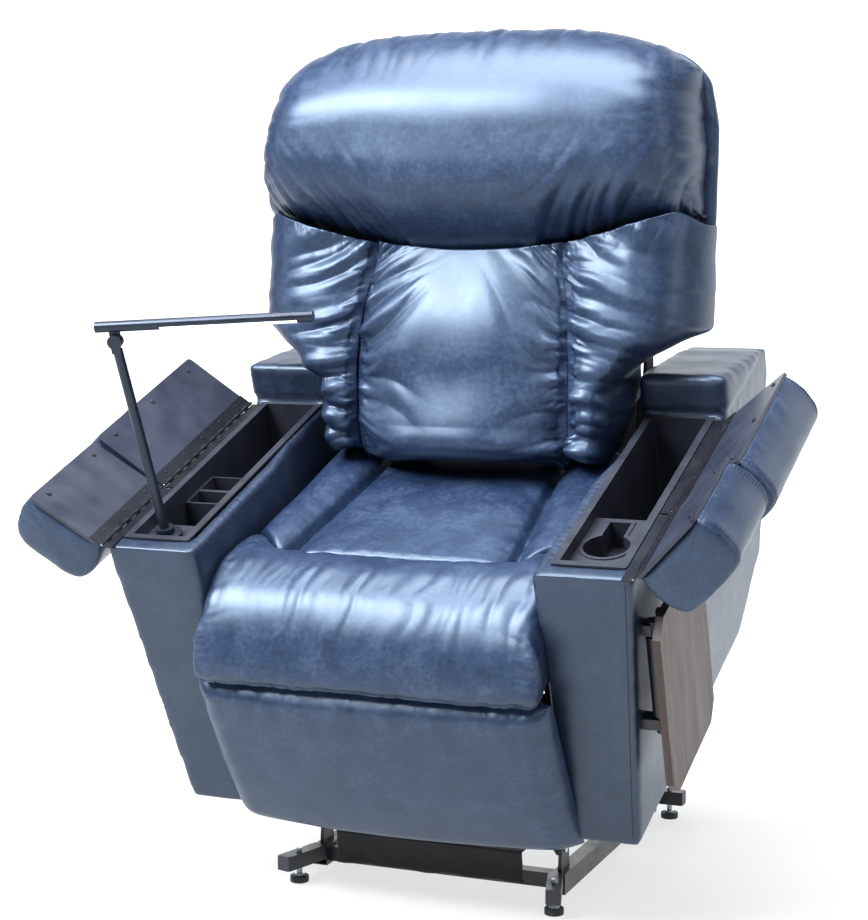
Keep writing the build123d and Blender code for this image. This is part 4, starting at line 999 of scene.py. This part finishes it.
def make_lid(name):
    """Padded lid: a domed pad with stitched end caps over the board."""
    base, along, through, long = lid_frame(name)
    long_mm = long / MM
    run, size = run_samples(long_mm, 70, 120, CAP_SEAM, CAP_SEAM, 3.0)
    dome, arc = smooth_line(DOME_KNOTS, DOME_POINTS)
    flat = np.array([(out, PAD_UNDER) for out in np.linspace(138, 6, 14)])
    loop = np.concatenate([dome, flat])
    rings = []
    for place, scale in zip(run, size):
        squeezed = squeeze(loop, PAD_MIDDLE, scale) * MM
        start = base + rear_dir * place * long
        rings.append(start + squeezed[:, :1] * along + squeezed[:, 1:] * through)
    points = np.array(rings)
    normal = outward_normals(points, through, slice(DOME_POINTS))
    seed = 200 + 10 * LIDS.index(name)
    lay = np.broadcast_to(run[:, None] * long_mm, (len(run), DOME_POINTS))
    round_way = np.broadcast_to(arc[None, :], lay.shape)
    ends = np.minimum(lay, long_mm - lay)
    move = gathers(round_way, ends - 12, height=1.1, reach=26, seed=seed)
    move += noise(lay / 90, round_way / 70, seed + 1) * 2.0
    edge = np.minimum(round_way, arc[-1] - round_way)
    move += gathers(lay, edge, height=1.0, reach=22, seed=seed + 2)
    move -= 1.6 * np.exp(-(((ends - CAP_SEAM) / 2.4) ** 2))
    points[:, :DOME_POINTS] += normal[:, :DOME_POINTS] * (move * size[:, None] * MM)[..., None]
    pad = add_sweep(f"lid_{name}_cover", points, LEATHER)
    finish_piece(pad, f"lid_{name}", (f"lid_{name}_pad",))
    tree = surface_tree(pad)
    centre = base + along * PAD_MIDDLE[0] * MM + through * RAY_HEIGHT * MM
    turns = np.linspace(radians(-12), radians(192), 90)[:, None]
    rays = np.cos(turns) * along + np.sin(turns) * through
    for end, place, inward in (("front", CAP_SEAM, 1), ("rear", long_mm - CAP_SEAM, -1)):
        for row, shift in (("piping", 0.0), ("stitch_a", 4.5), ("stitch_b", 9.5)):
            origin = centre + rear_dir * (place + inward * shift) * MM
            hits, _, facing = onto(tree, origin + rays * RAY_START, -rays)
            label = f"lid_{name}_{end}_{row}"
            if row == "piping":
                piece = add_tube(label, hits, 0.9 * MM, LEATHER)
            else:
                piece = add_stitches(label, hits, facing, THREAD, 5.5, 3.8, 0.5)
            finish_piece(piece, f"lid_{name}")
    return base, along, through, long_mm


# Each level of a screw head: its radius and its height, as shares of the head's radius.
SCREW_LEVELS = ((1.0, 0.0), (1.0, 0.25), (0.86, 0.48), (0.6, 0.62), (0.3, 0.66))
SCREW_SIDES = 24
RECESS_DEEP = 0.35


def make_screw(name, centre, facing, radius, body):
    """A domed screw head with a cross recess."""
    facing = facing / np.linalg.norm(facing)
    side = np.cross(facing, rear_dir)
    side /= np.linalg.norm(side)
    other = np.cross(facing, side)
    verts = []
    for size, rise in SCREW_LEVELS:
        for k in range(SCREW_SIDES):
            turn = 2 * pi * k / SCREW_SIDES
            cross = min(abs(sin(turn)), abs(cos(turn)))
            dip = RECESS_DEEP if size < 0.7 and cross < 0.3 else 0.0
            out = cos(turn) * side + sin(turn) * other
            verts.append(centre + facing * radius * (rise - dip) + radius * size * out)
    verts.append(centre + facing * radius * 0.3)
    faces = grid_faces(len(SCREW_LEVELS), SCREW_SIDES, closed=True)
    faces += fan((len(SCREW_LEVELS) - 1) * SCREW_SIDES, SCREW_SIDES, len(verts) - 1)
    faces.append(tuple(range(SCREW_SIDES - 1, -1, -1)))
    return finish_piece(add_object(name, verts, faces, HINGE), body)


PIN_R = 1.9
LEAF_FACE = 1.95
BOARD_SCREW_OUT, BOARD_SCREW_R = 122.0, 4.2
LEAF_SCREW_OUT, LEAF_SCREW_R = 15.0, 2.4
BOARD_SCREW_SHARES = {"front": (0.16, 0.86), "rear": (0.1, 0.5, 0.9)}
LEAF_SCREW_COUNTS = {"front": 3, "rear": 5}

for lid in LIDS:
    base, along, through, long_mm = make_lid(lid)
    end = lid.split("_")[1]
    face = base + through * LEAF_FACE * MM
    for number, share in enumerate(BOARD_SCREW_SHARES[end]):
        centre = face + along * BOARD_SCREW_OUT * MM + rear_dir * share * long_mm * MM
        label = f"lid_{lid}_board_screw_{number}"
        make_screw(label, centre, -through, BOARD_SCREW_R * MM, f"lid_{lid}")
    pin = np.linspace(base, base + rear_dir * long_mm * MM, 12)
    finish_piece(add_tube(f"lid_{lid}_pin", pin, PIN_R * MM, ZINC), "seat")
    count = LEAF_SCREW_COUNTS[end]
    for number in range(count):
        place = long_mm * (number + 0.5) / count
        centre = base + along * LEAF_SCREW_OUT * MM + rear_dir * place * MM
        label = f"lid_{lid}_leaf_screw_{number}"
        make_screw(label, centre, -through, LEAF_SCREW_R * MM, f"lid_{lid}")

# -------- stitched seams of the back

STITCH_INSET = 4.5

lower_tree = surface_tree(lower_back)
into_back = back(0.0, 0.0, 1.0) - back(0.0, 0.0, 0.0)
into_back /= np.linalg.norm(into_back)
for side, name in SIDES:
    seam_tall = np.linspace(4, 332, 120)
    starts = back((seam_x(seam_tall) - STITCH_INSET) * side, seam_tall, -160.0)
    places, facing, _ = onto(lower_tree, starts, into_back)
    row = add_stitches(f"back_stitch_{name}_inner", places, facing, THREAD, 7.0, 5.0, 0.6)
    finish_piece(row, "back")

# -------- dust cover

# Metres, but for the share of the cloth's rows that lie over the top.
CLOTH_THICK, CLOTH_GAP = 0.0012, 0.002
BELLY, BELLY_WAVE, TURN_BACK = 0.004, 0.0035, 0.016
TOP_SHARE = 0.25


def make_dust_cover():
    """Black cloth that lies over the base's front, hangs down, and turns back at an uneven hem."""
    low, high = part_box("base_dust_cover")
    columns, rows = 120, 40
    front, top = low.y + CLOTH_GAP / 2, high.z - CLOTH_GAP
    u, v = np.meshgrid(np.linspace(0, 1, columns), np.linspace(0, 1, rows), indexing="ij")
    hem = 0.006 * noise(u * 5, 0.3, 301) + 0.003 * noise(u * 14, 0.7, 303)
    t = np.clip((v - TOP_SHARE) / (1 - TOP_SHARE), 0, 1)
    on_top = v < TOP_SHARE
    x = low.x + CLOTH_GAP + (high.x - low.x - 2 * CLOTH_GAP) * u
    belly = (BELLY + BELLY_WAVE * noise(u * 9, t * 1.4, 305)) * np.sin(t * pi)
    hung = front + belly + TURN_BACK * np.clip(t - 0.8, 0, None) / 0.2
    y = np.where(on_top, high.y - (high.y - front) * v / TOP_SHARE, hung)
    fall = (top - low.z - 0.007 + hem) * np.minimum(1, t / 0.82)
    z = np.where(on_top, top, top - fall + 0.004 * np.clip(t - 0.85, 0, None) / 0.15)
    sheet = np.stack([x, y, z], axis=-1)
    half = grid_normals(sheet) * CLOTH_THICK / 2
    verts = np.concatenate([(sheet + half).reshape(-1, 3), (sheet - half).reshape(-1, 3)])
    faces = grid_faces(columns, rows)
    total = columns * rows
    faces += [tuple(total + n for n in reversed(face)) for face in grid_faces(columns, rows)]
    ring = border(np.arange(total).reshape(columns, rows)).tolist()
    for a, b in zip(ring, ring[1:] + ring[:1]):
        faces.append((a, b, total + b, total + a))
    return add_object("dust_cover_cloth", verts, faces, DUST)


dust = finish_piece(make_dust_cover(), "base", ("base_dust_cover",))

# -------- camera, floor and light

CAMERA_PLACE = (1.2795, -3.4106, 1.0997)
CAMERA_TILT, CAMERA_TURN = radians(83.7), radians(22.1)
CAMERA_LENS, CAMERA_SENSOR = 81.64, 36.0  # millimetres

camera = bpy.data.cameras.new("camera")
camera.lens = CAMERA_LENS
camera.sensor_width = CAMERA_SENSOR
eye = bpy.data.objects.new("camera", camera)
eye.location = CAMERA_PLACE
eye.rotation_euler = (CAMERA_TILT, 0, CAMERA_TURN)
bpy.context.scene.collection.objects.link(eye)
bpy.context.scene.camera = eye


def plain(name, grey, glow):
    """A plain, faintly glowing paper for the room around the chair."""
    material, _, shader, _ = new_material(name)
    paper = {"Base Color": (grey, grey, grey, 1), "Roughness": 0.9}
    set_inputs(shader, {**paper, "Emission Color": (1, 1, 1, 1), "Emission Strength": glow})
    return material


# Metres: the floor runs to the backdrop, which rises from it in a wide bend.
FLOOR_FRONT, FLOOR_END, WALL_FOOT, WALL_HIGH, BEND = -9.0, 0.6, 3.2, 4.5, 1.2
ROOM_HALF = 7.0
floor_line = [(FLOOR_FRONT, 0.0), (FLOOR_END, 0.0)]
wall_line = [(FLOOR_END, 0.0), (WALL_FOOT, 0.0)]
turns = np.linspace(0.1, pi / 2, 14)
wall_line += [(WALL_FOOT + BEND * sin(turn), BEND - BEND * cos(turn)) for turn in turns]
wall_line += [(WALL_FOOT + BEND, WALL_HIGH)]
papers = (("floor", floor_line, 0.26, 0.68), ("backdrop", wall_line, 0.5, 0.85))
for label, line, grey, glow in papers:
    sheet = np.array([[(x, y, z) for y, z in line] for x in (-ROOM_HALF, ROOM_HALF)])
    paper = plain(f"{label}_paper", grey, glow)
    add_object(label, sheet.reshape(-1, 3), grid_faces(2, len(line)), paper)


COOL = (0.92, 0.965, 1.0)


def soft_box(name, place, target, wide, tall, power):
    """A rectangular studio light aimed at a point, in metres and watts."""
    lamp = bpy.data.lights.new(name, "AREA")
    lamp.shape = "RECTANGLE"
    lamp.size, lamp.size_y = wide, tall
    lamp.energy = power
    lamp.color = COOL
    obj = bpy.data.objects.new(name, lamp)
    obj.location = place
    aim = Vector(target) - Vector(place)
    obj.rotation_euler = aim.to_track_quat("-Z", "Y").to_euler()
    bpy.context.scene.collection.objects.link(obj)


soft_box("key", (-1.8, -2.6, 3.4), (0, 0, 0.9), 2.0, 1.5, 390)
soft_box("front", (1.5, -3.4, 2.5), (0, 0, 0.7), 1.2, 0.9, 16)
soft_box("left_fill", (-3.2, -0.9, 1.7), (0, 0, 0.7), 1.0, 2.4, 14)
soft_box("right_fill", (3.3, -0.6, 1.8), (0, 0, 0.7), 0.9, 2.4, 22)
soft_box("top", (0.0, -0.7, 3.9), (0, 0, 0.6), 2.8, 2.2, 290)

world = bpy.data.worlds.new("studio")
bpy.context.scene.world = world
world.use_nodes = True
sky = world.node_tree.nodes["Background"]
set_inputs(sky, {"Color": (1, 1, 1, 1), "Strength": 0.14})
bpy.context.scene.view_settings.view_transform = "Standard"
